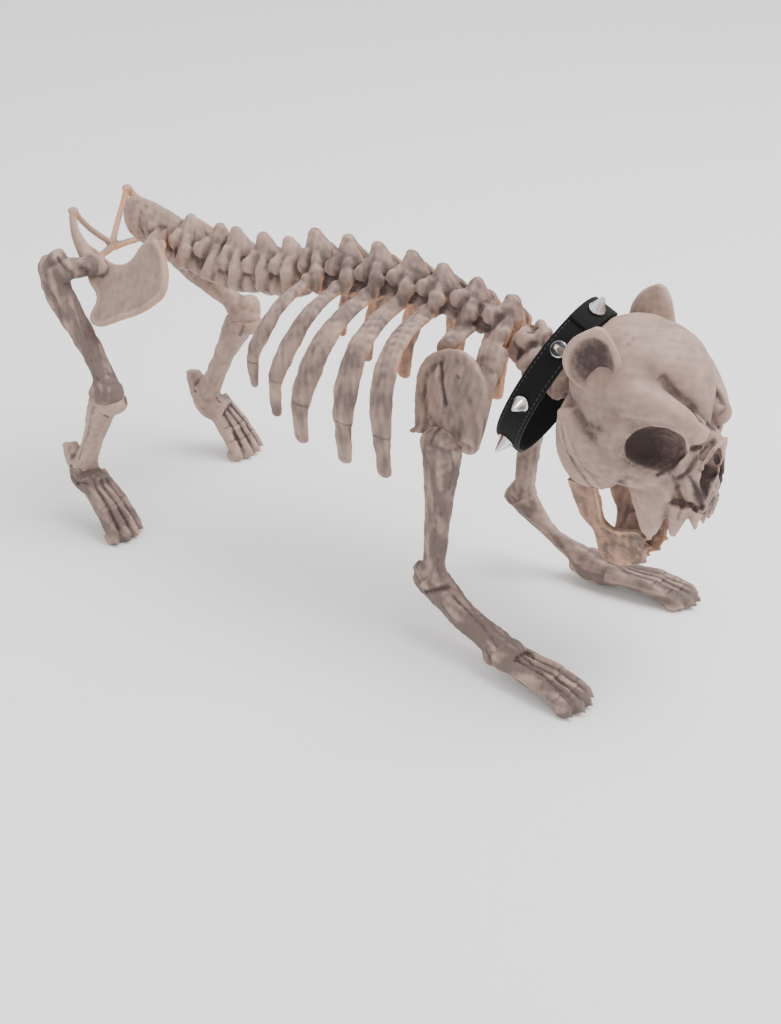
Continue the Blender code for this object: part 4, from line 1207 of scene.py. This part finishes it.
# %% Hind limbs
FEMUR_LINES = (
    ([(58, 258), (64, 268), (72, 275), (74, 288)], 0.0013, 0.0009, 0.70),
    ([(43, 283), (55, 300), (62, 325), (78, 352)], 0.0015, 0.0007, 0.45),
    ([(76, 300), (84, 330), (96, 362)], 0.0013, 0.0006, 0.40),
    ([(93, 375), (104, 384), (117, 383)], 0.0013, 0.0006, 0.45),
    ([(81, 268), (87, 272), (87, 280)], 0.0016, 0.0008, 1.10))
SHIN_LINES = {
    "right": [([(124, 384), (127, 392), (127, 401)], 0.0016, 0.0008, 1.30),
              ([(92, 400), (105, 401), (121, 396)], 0.0012, 0.0010, 0.90),
              ([(105, 416), (109, 418)], 0.0008, 0.0006, 1.0),
              ([(70, 468), (80, 474), (92, 472)], 0.0012, 0.0008, 0.7)],
    "left": [([(224, 315), (233, 313), (245, 307)], 0.0012, 0.0008, 0.7),
             ([(243, 326), (240, 335)], 0.0012, 0.0004, 0.9)]}
HOCK_LINE = ([(77, 484), (84, 483), (88, 484)], 0.0010, 0.0009, 1.1)


def build_thigh(side, tag):
    """Bowed shaft, head and kneecap of the thigh bone."""
    h = Vector(HIP[tag])
    k = Vector(KNEE[tag])
    seat = Vector((h.x, side * 0.040, h.z))
    shaft = [h + Vector((-0.020, side * 0.006, -0.002)), h + Vector((-0.018, side * 0.008, -0.016)),
             h.lerp(k, 0.5) + Vector((-0.0135, 0, -0.003)), h.lerp(k, 0.80) + Vector((-0.001, 0, 0)), k]
    pieces = [rod(shaft, [0.0100, 0.0102, 0.0086, 0.0078, 0.0110]),
              rod([seat, h + Vector((-0.010, side * 0.004, -0.001)),
                   h + Vector((-0.019, side * 0.006, -0.005))], [0.0070, 0.0078, 0.0098]),
              ball(seat, (0.0074, 0.0050, 0.0074)),
              ball(h + Vector((-0.0255, side * 0.007, -0.004)), (0.0080, 0.0085, 0.0110)),
              ball(h + Vector((-0.0190, side * 0.005, 0.0055)), (0.0060, 0.0065, 0.0055)),
              ball(k + Vector((0.001, side * 0.001, 0.0015)), (0.0122, 0.0118, 0.0088)),
              ball(k + Vector((0.0040, side * 0.002, 0.006)), (0.0084, 0.0086, 0.0090))]
    groove = [h.lerp(k, t) + Vector((x, side * 0.009, 0)) for t, x in ((0.30, -0.010), (0.7, -0.002))]
    marks = [(groove, 0.0016, 0.0006, 0.30)]
    if side < 0:
        marks += FEMUR_LINES
    mould("femur_" + tag, pieces, soft=9, lumps=0.0008, marks=marks, along=h - k)


def build_shin(side, tag):
    """Shin with its flared top and the spur of the heel."""
    k = Vector(KNEE[tag])
    a = Vector(HOCK[tag])
    pieces = [rod([k + Vector((0.001, 0, -0.003)), k.lerp(a, 0.16), k.lerp(a, 0.55), k.lerp(a, 0.88), a],
                  [0.0108, 0.0108, 0.0076, 0.0082, 0.0100]),
              ball(k + Vector((0.003, 0, -0.006)), (0.0120, 0.0115, 0.0080)),
              bone([(a.x - 0.002, a.y, a.z - 0.009, 0.0078, 0.0080),
                    (a.x - 0.0070, a.y, a.z - 0.001, 0.0068, 0.0094),
                    (a.x - 0.0105, a.y, a.z + 0.0075, 0.0054, 0.0088),
                    (a.x - 0.0125, a.y, a.z + 0.0140, 0.0040, 0.0072)], across=(0, 1, 0), sides=6)]
    groove = [k.lerp(a, t) + Vector((x, side * y, 0))
              for t, x, y in ((0.10, 0, 0.012), (0.45, -0.001, 0.010), (0.85, -0.002, 0.009))]
    mould("shin_" + tag, pieces, soft=7, lumps=0.0007, along=k - a,
          marks=[(groove, 0.0014, 0.0006, 0.25), *SHIN_LINES[tag]])


def build_hind_foot(side, tag):
    """Steep foot on four toes, with painted shade between them."""
    a = Vector(HOCK[tag])
    toe_x, toe_y = HIND_TOE[tag]
    mid = a.lerp(Vector((toe_x, toe_y, 0.008)), 0.4) + Vector((0, 0, 0.001))
    starts, tips = [], []
    for n in range(TOE_COUNT):
        offset = (n - 1.5) / 1.5
        starts.append(mid + Vector((-0.009, offset * 0.0062, 0.007)))
        tips.append(Vector((toe_x - 0.005 * abs(offset), toe_y + offset * 0.0112, TOE_HEIGHT)))
    pieces, marks = toes(starts, tips)
    pieces += [rod([a + Vector((-0.002, 0, 0.002)), a + Vector((0.001, 0, -0.008)), mid],
                   [0.0098, 0.0108, 0.0100]),
               ball(a + Vector((0.001, side * 0.001, -0.011)), (0.0074, 0.0094, 0.0070)),
               pod(mid, (toe_x - 0.008, toe_y, 0.0045), 0.0115, 0.0055)]
    ankle = [a + Vector((x, side * 0.010, z)) for x, z in ((-0.004, -0.006), (0.006, -0.010))]
    marks.append((ankle, 0.0010, 0.0008, 0.8))
    if side < 0:
        marks.append(HOCK_LINE)
    # Painted shade between the toes.
    mould("hind_foot_" + tag, pieces, soft=6, voxel=0.00075, lumps=0.0004, marks=marks, along=(1, 0, -0.6),
          shade_spots=[((toe_x - 0.016, toe_y, 0.012), (0.015, 0.013, 0.011), 0.50)],
          cuts=[half_space((mid.x, a.y, -GAP / 2), (0, 0, -1), 0.12)])


for SIDE, TAG in SIDES:
    build_thigh(SIDE, TAG)
    build_shin(SIDE, TAG)
    build_hind_foot(SIDE, TAG)

# %% [markdown]
# ## The skull
#
# The head is one big moulding: a dome, a bulging forehead between two brow horns, deep eye sockets, a
# broad cheek, a blunt muzzle with a pear-shaped nose opening, and tusks. It could be sculpted by hand,
# but overlapping lofts and balls keep it mirrored and easy to adjust. Creases, rims and the edge of the
# face shell are marks, and the dark in the sockets is painted shade, laid on as a spot.

# %% Skull
SKULL_CENTRE = (0.195, 0.0, 0.1795)
SKULL_RADII = (0.036, 0.040, 0.0375)


def skull_side(side):
    """Brow horn, temple, cheek and the root of the tusk of one side."""
    horn = sided(side, (0.188, 0.0220, 0.183, 0.0120, 0.0110), (0.201, 0.0275, 0.1860, 0.0130, 0.0120),
                 (0.213, 0.0280, 0.1835, 0.0130, 0.0120), (0.228, 0.0215, 0.176, 0.0108, 0.0100),
                 (0.2405, 0.0140, 0.1665, 0.0080, 0.0080))
    cheek = sided(side, (0.173, 0.036, 0.172, 0.006, 0.007), (0.180, 0.0385, 0.156, 0.009, 0.007),
                  (0.196, 0.0370, 0.147, 0.011, 0.008), (0.212, 0.0315, 0.142, 0.011, 0.009),
                  (0.226, 0.0235, 0.139, 0.010, 0.008))
    tusk = sided(side, (0.219, 0.0215, 0.140, 0.0170, 0.0090), (0.2205, 0.0215, 0.123, 0.0125, 0.0082),
                 (0.2210, 0.0210, 0.109, 0.0082, 0.0066), (0.2210, 0.0205, 0.0985, 0.0042, 0.0040))
    return [bone(horn), ball((0.184, side * 0.021, 0.150), (0.0245, 0.0185, 0.0335)),
            ball((0.222, side * 0.019, 0.158), (0.0200, 0.0170, 0.0260)),
            ball((0.197, side * 0.029, 0.170), (0.0240, 0.0120, 0.0220)), bone(cheek, across=(0.5, 0, 0.85)),
            ball((0.205, side * 0.0340, 0.160), (0.0150, 0.0100, 0.0170)), bone(tusk)]


def tooth_side(side):
    """Nub of the brow horn, half of the nose rim, tips of the tusk and canine, and front teeth."""
    rim = sided(side, (0.2510, 0.0, 0.1575), (0.2495, 0.0065, 0.1560), (0.2480, 0.0110, 0.1515),
                (0.2455, 0.0150, 0.1440), (0.2450, 0.0158, 0.1370), (0.2465, 0.0140, 0.1300))
    return [ball((0.2400, side * 0.0143, 0.1668), 0.0080), rod(rim, [0.0017] * len(rim)),
            tooth((0.2210, side * 0.0208, 0.110), (0.2212, side * 0.0203, 0.0955), 0.0068),
            tooth((0.2355, side * 0.0160, 0.122), (0.2340, side * 0.0175, 0.1000), 0.0088),
            tooth((0.2445, side * 0.0035, 0.118), (0.2455, side * 0.0035, 0.1050), 0.0050),
            tooth((0.2430, side * 0.0105, 0.118), (0.2440, side * 0.0105, 0.1040), 0.0056)]


SKULL_LINES = (
    ([(664, 377), (675, 394), (690, 407), (701, 418)], 0.0024, 0.0010, 0.22),
    ([(693, 410), (703, 421), (713, 428)], 0.0020, 0.0010, 0.77),
    ([(686, 453), (677, 461), (668, 470), (658, 476)], 0.0011, 0.0012, 1.07),
    ([(692, 449), (704, 446), (714, 441)], 0.0016, 0.0012, 0.62),
    ([(563, 423), (568, 442), (580, 465), (600, 488), (622, 498)], 0.0010, -0.0009, 0.00),
    ([(560, 427), (565, 447), (577, 470), (597, 493), (618, 500)], 0.0013, 0.0011, 0.41),
    ([(568, 390), (573, 408), (590, 425), (607, 432)], 0.0030, 0.0007, 0.10),
    ([(622, 415), (640, 418), (652, 418), (668, 421)], 0.0020, -0.0007, 0.00),
    ([(706, 448), (697, 459), (690, 470), (680, 478)], 0.0014, 0.0009, 0.49),
    ([(714, 452), (706, 466), (702, 482), (707, 497)], 0.0013, 0.0010, 0.67),
    ([(690, 478), (697, 492), (703, 508)], 0.0013, 0.0009, 0.54),
    ([(677, 488), (682, 503), (678, 519)], 0.0013, 0.0008, 0.41),
    ([(700, 470), (707, 476), (716, 474)], 0.0011, 0.0008, 0.54),
    ([(690, 504), (698, 512), (708, 514), (716, 508)], 0.0012, 0.0008, 0.40),
    ([(711, 484), (716, 494), (720, 502)], 0.0012, -0.0007, 0.00),
    ([(683, 470), (688, 485), (690, 500)], 0.0018, -0.0007, 0.00),
    ([(648, 482), (662, 488), (670, 500)], 0.0024, -0.0006, 0.00),
    ([(620, 482), (629, 478), (637, 480)], 0.0018, 0.0003, 0.54),
    ([(664, 470), (672, 476), (678, 486)], 0.0016, 0.0005, 0.22))
# Spots of painted shade: the eye sockets, the nose opening and smaller patches on the head.
SKULL_SHADE = (
    ((0.2240, 0.0330, 0.1590), (0.0230, 0.0170, 0.0180), 1.50),
    ((720, 474), (0.0075, 0.0090, 0.0150), 0.85),
    ((627, 334), (0.0022, 0.0022, 0.0022), 0.60),
    ((634, 338), (0.0026, 0.0026, 0.0026), 0.50),
    ((629, 344), (0.0020, 0.0020, 0.0020), 0.55),
    ((641, 337), (0.0022, 0.0022, 0.0022), 0.45),
    ((702, 478), (0.0130, 0.0130, 0.0160), 0.52),
    ((676, 474), (0.0110, 0.0110, 0.0110), 0.42),
    ((715, 503), (0.0080, 0.0100, 0.0080), 0.45),
    ((600, 385), (0.0280, 0.0220, 0.0320), 0.30),
    ((622, 484), (0.0050, 0.0050, 0.0035), 0.50),
    ((600, 455), (0.0260, 0.0200, 0.0260), 0.26))


def build_skull():
    """The whole head but for the ears and the jaw."""
    forehead = [(0.202, 0, 0.203, 0.028, 0.012), (0.218, 0, 0.198, 0.023, 0.015),
                (0.2270, 0, 0.187, 0.0170, 0.0150), (0.2295, 0, 0.174, 0.0115, 0.0135),
                (0.2295, 0, 0.163, 0.0085, 0.0120)]
    muzzle = [(0.200, 0, 0.145, 0.0270, 0.0290), (0.222, 0, 0.140, 0.0235, 0.0280),
              (0.238, 0, 0.1360, 0.0205, 0.0250), (0.2465, 0, 0.1345, 0.0170, 0.0225),
              (0.2500, 0, 0.1340, 0.0120, 0.0175)]
    bridge = [(0.2370, 0, 0.165, 0.0060, 0.0060), (0.2455, 0, 0.156, 0.0070, 0.0060),
              (0.249, 0, 0.147, 0.008, 0.005)]
    pieces = [ball(SKULL_CENTRE, SKULL_RADII)]
    pieces += [bone(rows, across=(0, 1, 0)) for rows in (forehead, muzzle, bridge)]
    late, carve = [], []
    cuts = [half_space((SKULL_REAR_X, 0, 0.17), (-1, 0, 0), 0.05), strap_cutter()]
    for side in (-1, 1):
        pieces += skull_side(side)
        late += tooth_side(side)
        carve += [pod((0.2140, side * 0.0445, 0.1595), (0.2400, side * 0.0235, 0.1605), 0.0136, 0.0128),
                  pod((0.2478, side * 0.0065, 0.1585), (0.2485, side * 0.0110, 0.1275), 0.0088, 0.0066)]
        cuts.append(half_space((0.183, side * 0.026, JAW_TOP_Z), (0, 0, -1), 0.030))
    mould("skull", pieces, late=late, soft=48, voxel=0.0008, carve=carve, cuts=cuts, marks=SKULL_LINES,
          shade_spots=SKULL_SHADE, lumps=0.0004, twin=True, hollow=0.6)


build_skull()

# %% [markdown]
# ## The ears
#
# A real dog's ears hold no bone, but the prop has them. An ear is a thick leaf with its hollow turned
# outwards. The hollow could be pushed in by hand, but a smaller pod carved from the leaf leaves a rim of
# even thickness. Painted shade fills the hollow.

# %% Ears


def build_ear(side, tag):
    """Leaf with a hollow on its outer face."""
    leaf = sided(side, (0.187, 0.0260, 0.184, 0.0080, 0.0060), (0.186, 0.0315, 0.192, 0.0145, 0.0080),
                 (0.186, 0.0345, 0.200, 0.0170, 0.0078), (0.187, 0.0355, 0.208, 0.0155, 0.0068),
                 (0.189, 0.0360, 0.2165, 0.0100, 0.0045), (0.1900, 0.0355, 0.2230, 0.0030, 0.0022))
    cup = (0.95, -side * 0.30, 0)
    hollow = pod((0.187, side * 0.0425, 0.176), (0.190, side * 0.0430, 0.2205), 0.0148, 0.0090, across=cup)
    # Painted shade fills the ear's hollow.
    mould("ear_" + tag, [bone(leaf, across=cup)], soft=4, voxel=0.0007, carve=[hollow], lumps=0.0003,
          shade_spots=[((0.188, side * 0.0365, 0.201), (0.0190, 0.0095, 0.0220), 1.00)])


for SIDE, TAG in SIDES:
    build_ear(SIDE, TAG)

# %% [markdown]
# ## The jaw
#
# The jaw hangs wide open on its two branches, with short teeth along its front edge, and stays the
# orange of raw plastic nearly all over. Each side is a thin plate from one outline, leaned inwards so
# that the two draw together at the chin. Rods could do, but the photograph shows flat faces with sharp
# edges.

# %% Jaw
JAW_OUTLINE = ((0.172, 0.117), (0.172, 0.131), (0.188, 0.131), (0.1905, 0.113), (0.191, 0.098),
               (0.1985, 0.0925), (0.2140, 0.0970), (0.2165, 0.0850), (0.2160, 0.0760), (0.2100, 0.0690),
               (0.1990, 0.0640), (0.1890, 0.0645), (0.1845, 0.0720), (0.1835, 0.0860), (0.1765, 0.0960))
JAW_LEAN = 0.36
JAW_HALF_WIDTH = 0.0100
JAW_LEVEL = 0.075
JAW_HOLLOW = ((0.1905, 0.090), (0.199, 0.088), (0.209, 0.091))


def jaw_place(side, x, z, lift=0.0):
    """Point of one side of the jaw, whose sides draw together towards the chin."""
    return Vector((x, side * (JAW_HALF_WIDTH + JAW_LEAN * (z - JAW_LEVEL) + lift), z))


def build_jaw():
    """Two thin sides, chin and front teeth."""
    chin = [(0.1960, -0.006, 0.070, 0.010, 0.005), (0.1990, 0, 0.0675, 0.0125, 0.006),
            (0.1960, 0.006, 0.070, 0.010, 0.005)]
    pieces = [bone(chin, across=(0.9, 0, 0.44))]
    marks, cuts = [], []
    for side in (-1, 1):
        lean = Matrix(((1, 0, 0), (0, side * JAW_LEAN, side), (0, 1, 0))).to_4x4()
        lean.translation = (0, side * (JAW_HALF_WIDTH - JAW_LEAN * JAW_LEVEL), 0)
        pieces.append(plate(JAW_OUTLINE, 0.0048, lean))
        pieces.append(pod(jaw_place(side, 0.189, 0.080), jaw_place(side, 0.213, 0.080), 0.0030, 0.0110))
        for n in range(4):
            root = jaw_place(side, 0.2130 - 0.0006 * n * n, 0.0920 - 0.0070 * n)
            pieces.append(tooth(root, root + Vector((0.0085, 0, 0.0015)), 0.0034))
        marks += [([jaw_place(side, x, z, 0.003) for x, z in JAW_HOLLOW], 0.0022, 0.0007, 0.1),
                  ([jaw_place(side, x, z, 0.003) for x, z in JAW_OUTLINE[3:8]], 0.0013, -0.0006, 0.0)]
        cuts.append(half_space((0.183, side * 0.026, JAW_TOP_Z), (0, 0, 1), 0.030))
    mould("jaw", pieces, soft=4, voxel=0.0007, lumps=0.0004, cuts=cuts, marks=marks, spray=(-1, 0, 0.25))


build_jaw()

# %% [markdown]
# ## The collar
#
# Black nylon webbing, folded round the neck and overlapped at the top, with cone studs riveted through
# it and a line of thread near each edge. The weave could be modelled thread by thread, but no camera
# would see it from here. It is a bump and a slight change of colour, driven by the distance along and
# across the strap, which is written on every vertex. The studs are bright plating, the thread is grey.

# %% Webbing and chrome
THREADS_ALONG = 0.0009
RIBS_ACROSS = 0.0013


def webbing_finish():
    """Black ribbed weave."""
    paint = Paint("black_webbing")
    lie = paint.vector_attribute("lie")
    along, across, _ = paint.node("ShaderNodeSeparateXYZ", None, {0: lie})

    def ripple(value, pitch):
        return paint.node("ShaderNodeMath", {"operation": "SINE"}, {0: value * (math.tau / pitch)})[0]

    twill = ripple(along + across * 0.5, THREADS_ALONG) * 0.5 + 0.5
    ribs = ripple(across, RIBS_ACROSS) * 0.5 + 0.5
    fuzz = paint.noise(1500.0, 3.0)
    weave = twill * 0.5 + ribs * 0.35 + fuzz * 0.4
    paint.set(Base_Color=weave.between(0.2, 1.1).mix((0.0015, 0.0015, 0.0017), (0.008, 0.008, 0.0085)),
              Roughness=0.92 - weave * 0.25, Sheen_Weight=0.04, Specular_IOR_Level=0.15,
              Normal=paint.bump(weave, 0.0003, 0.5))
    return paint.material


def chrome_finish():
    """Bright plating with faint handling marks."""
    paint = Paint("plated_cone")
    smear = paint.noise(300.0, 4.0)
    paint.set(Base_Color=smear.mix((0.60, 0.60, 0.61), (0.78, 0.78, 0.79)), Metallic=1.0,
              Roughness=smear.between(0.3, 0.8) * 0.18 + 0.12)
    return paint.material


def thread_finish():
    """Grey sewing thread."""
    paint = Paint("grey_thread")
    twist = paint.noise(2500.0, 2.0)
    paint.set(Base_Color=twist.mix((0.030, 0.030, 0.032), (0.085, 0.085, 0.088)), Roughness=0.8)
    return paint.material


WEBBING = webbing_finish()
CHROME = chrome_finish()
THREAD = thread_finish()
print("three collar finishes")

# %% [markdown]
# ## The strap
#
# The real strap closes on itself, with its free end lapped over the outside, and sags a little. It
# could be draped as cloth, but a still model needs none, so a section with rounded edges is swept
# around an even oval. A voxel remesh would erase anything this thin, so the bands keep their own faces.
# The lapped end is a second, thinner band on the first, and each stitch is a tiny flattened ball.

# %% Strap
STRAP_RINGS = 240
EDGE_ROUND = 0.0005
STEPS_ACROSS = 12
FLAP_THICKNESS = 0.0015
FLAP_WIDTH = STRAP_WIDTH * 0.97
FLAP_RINGS = 60
FLAP_START = math.radians(-24)
FLAP_END = math.radians(20)
STITCH_COUNT = 96
STITCH_INSET = 0.0019
STITCH_RADII = (0.0010, 0.00022, 0.0002)


def webbing_section(thickness, width):
    """Closed outline of a strap's section with rounded edges and a row of points across each face."""
    half = thickness / 2 - EDGE_ROUND
    wide = width / 2 - EDGE_ROUND
    section = []
    for out, side, start in ((half, wide, 0), (-half, wide, 90), (-half, -wide, 180), (half, -wide, 270)):
        for step in range(4):
            turn = math.radians(start + 30 * step)
            section.append((out + EDGE_ROUND * math.cos(turn), side + EDGE_ROUND * math.sin(turn)))
        if start in (90, 270):
            reach = math.copysign(thickness / 2, out)
            section += [(reach, side * (1 - 2 * k / STEPS_ACROSS)) for k in range(1, STEPS_ACROSS)]
    return section


def band(name, first, last, rings, thickness, width, lift):
    """Part of a loop of webbing, with the distance along and across it written on its vertices."""
    section = webbing_section(thickness, width)
    closed = last - first > 2 * math.pi - 1e-6
    lie = []

    def fill(bm):
        loops = []
        travelled, before = 0.0, None
        for angle in np.linspace(first, last, rings, endpoint=not closed):
            middle = collar_point(angle, lift)
            travelled += (middle - before).length if before else 0.0
            before = middle
            loops.append([bm.verts.new(collar_point(angle, lift + out, side)) for out, side in section])
            lie.extend((travelled, side, 0.0) for _, side in section)
        for here, after in zip(loops, loops[1:] + (loops[:1] if closed else [])):
            for m in range(len(section)):
                n = (m + 1) % len(section)
                bm.faces.new((here[m], after[m], after[n], here[n]))
        if not closed:
            bm.faces.new(loops[0])
            bm.faces.new(loops[-1][::-1])

    item = mesh_object(name, fill)
    layer = item.data.attributes.new("lie", "FLOAT_VECTOR", "POINT")
    layer.data.foreach_set("vector", np.array(lie, np.float32).ravel())
    return item


def stitches():
    """Short dashes of thread near both edges of the strap, as one mesh."""

    def fill(bm):
        for n in range(STITCH_COUNT):
            angle = 2 * math.pi * n / STITCH_COUNT
            outward = collar_normal(angle)
            ahead = (collar_point(angle + 0.02) - collar_point(angle - 0.02)).normalized()
            turn = Matrix((ahead, outward.cross(ahead), outward)).transposed().to_4x4()
            for edge in (-1, 1):
                middle = collar_point(angle, STRAP_THICKNESS / 2, edge * (STRAP_WIDTH / 2 - STITCH_INSET))
                place = Matrix.Translation(middle) @ turn @ Matrix.Diagonal((*STITCH_RADII, 1))
                bmesh.ops.create_uvsphere(bm, u_segments=8, v_segments=6, radius=1, matrix=place)

    return mesh_object("stitches", fill)


def add_collar():
    """Strap, its overlapped end and the stitching."""
    strap = band("strap", 0, 2 * math.pi, STRAP_RINGS, STRAP_THICKNESS, STRAP_WIDTH, 0.0)
    finish(strap, "collar_strap", WEBBING)
    lift = (STRAP_THICKNESS + FLAP_THICKNESS) / 2
    flap = band("flap", FLAP_START, FLAP_END, FLAP_RINGS, FLAP_THICKNESS, FLAP_WIDTH, lift)
    for item, name, look in ((flap, "strap_flap", WEBBING), (stitches(), "strap_stitches", THREAD)):
        item.data.transform(Matrix.Translation(FRAME_SHIFT))
        item.name = name
        item.data.materials.append(look)
        item.data.shade_smooth()
        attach(item, "root")


add_collar()

# %% [markdown]
# ## The studs
#
# A stud is a pointed cone of bright metal on a small flange. A plain cone could stand for it, but the
# flange and the rounded tip catch the light, so the outline is drawn once and spun like work on a
# lathe. Seven stand 45 degrees apart, and the first of them sits on the lapped end.

# %% Studs
STUD_COUNT = 7
STUD_SEAT = GAP + 0.0001
STUD_STEP = math.radians(45)
STUD_TURN = math.radians(2)
STUD_PROFILE = ((0.0050, 0.0), (0.0050, 0.0006), (0.0045, 0.0010), (0.0040, 0.0018), (0.0026, 0.0052),
                (0.0012, 0.0082), (0.0004, 0.0094), (0.0, 0.0095))


def stud(place):
    """Turned cone with a small flange."""

    def fill(bm):
        verts = [bm.verts.new((r, 0, z)) for r, z in ((0.0, 0.0), *STUD_PROFILE)]
        edges = [bm.edges.new(pair) for pair in zip(verts, verts[1:])]
        bmesh.ops.spin(bm, geom=verts + edges, axis=(0, 0, 1), cent=(0, 0, 0), steps=48, angle=2 * math.pi)
        bmesh.ops.remove_doubles(bm, verts=bm.verts, dist=1e-6)
        bmesh.ops.transform(bm, matrix=place, verts=bm.verts)

    return mesh_object("stud", fill)


for N in range(STUD_COUNT):
    ANGLE = -STUD_STEP * N - STUD_TURN
    OUTWARD = collar_normal(ANGLE)
    LIFT = FLAP_THICKNESS if N == 0 else 0.0
    BASE = collar_point(ANGLE, STRAP_THICKNESS / 2) + OUTWARD * (STUD_SEAT + LIFT)
    finish(stud(aimed(BASE, OUTWARD)), "stud_%d" % (N + 1), CHROME)

# %% [markdown]
# ## Floor and light
#
# A pale floor and large soft lamps, as for a catalogue picture. A picture of a real sky could light the
# prop, but the photograph has no visible surroundings. So the world gives an even white fill, one wide
# lamp high on the right of the picture gives form, a weak one on the left lifts the shadows, and
# nothing casts a hard edge.

# %% Studio
FLOOR_SIZE = 6.0
LAMP_AIM = Vector((0, 0, 0.1))
LAMPS = (("key", (0.6, 0.4, 1.7), 1.3, 42.0), ("fill", (-1.2, -0.9, 1.2), 1.4, 3.0))


def add_studio():
    """Floor, lamps and world."""
    floor = mesh_object("studio_floor", lambda bm: bmesh.ops.create_grid(
        bm, x_segments=2, y_segments=2, size=FLOOR_SIZE))
    paint = Paint("pale_floor")
    paint.set(Base_Color=paint.noise(6.0).mix((0.93, 0.93, 0.93), (0.95, 0.95, 0.95)), Roughness=0.9)
    floor.data.materials.append(paint.material)
    floor.location.z = -0.0002
    world = bpy.data.worlds.new("studio")
    bpy.context.scene.world = world
    world.use_nodes = True
    sky = world.node_tree.nodes["Background"]
    sky.inputs["Color"].default_value = (1.0, 1.0, 1.0, 1)
    sky.inputs["Strength"].default_value = 1.1
    for name, place, size, power in LAMPS:
        lamp = bpy.data.lights.new(name, "AREA")
        lamp.size = size
        lamp.energy = power
        holder = bpy.data.objects.new(name, lamp)
        holder.location = place
        holder.rotation_euler = (Vector(place) - LAMP_AIM).to_track_quat("Z", "Y").to_euler()
        bpy.context.scene.collection.objects.link(holder)


add_studio()
print("lit")

# %% [markdown]
# ## Measure and close
#
# The dressed model must keep the size of the solids. At the close the number of faces in all is printed.

# %% Faces in all
print("faces in all", TOTAL["faces"])
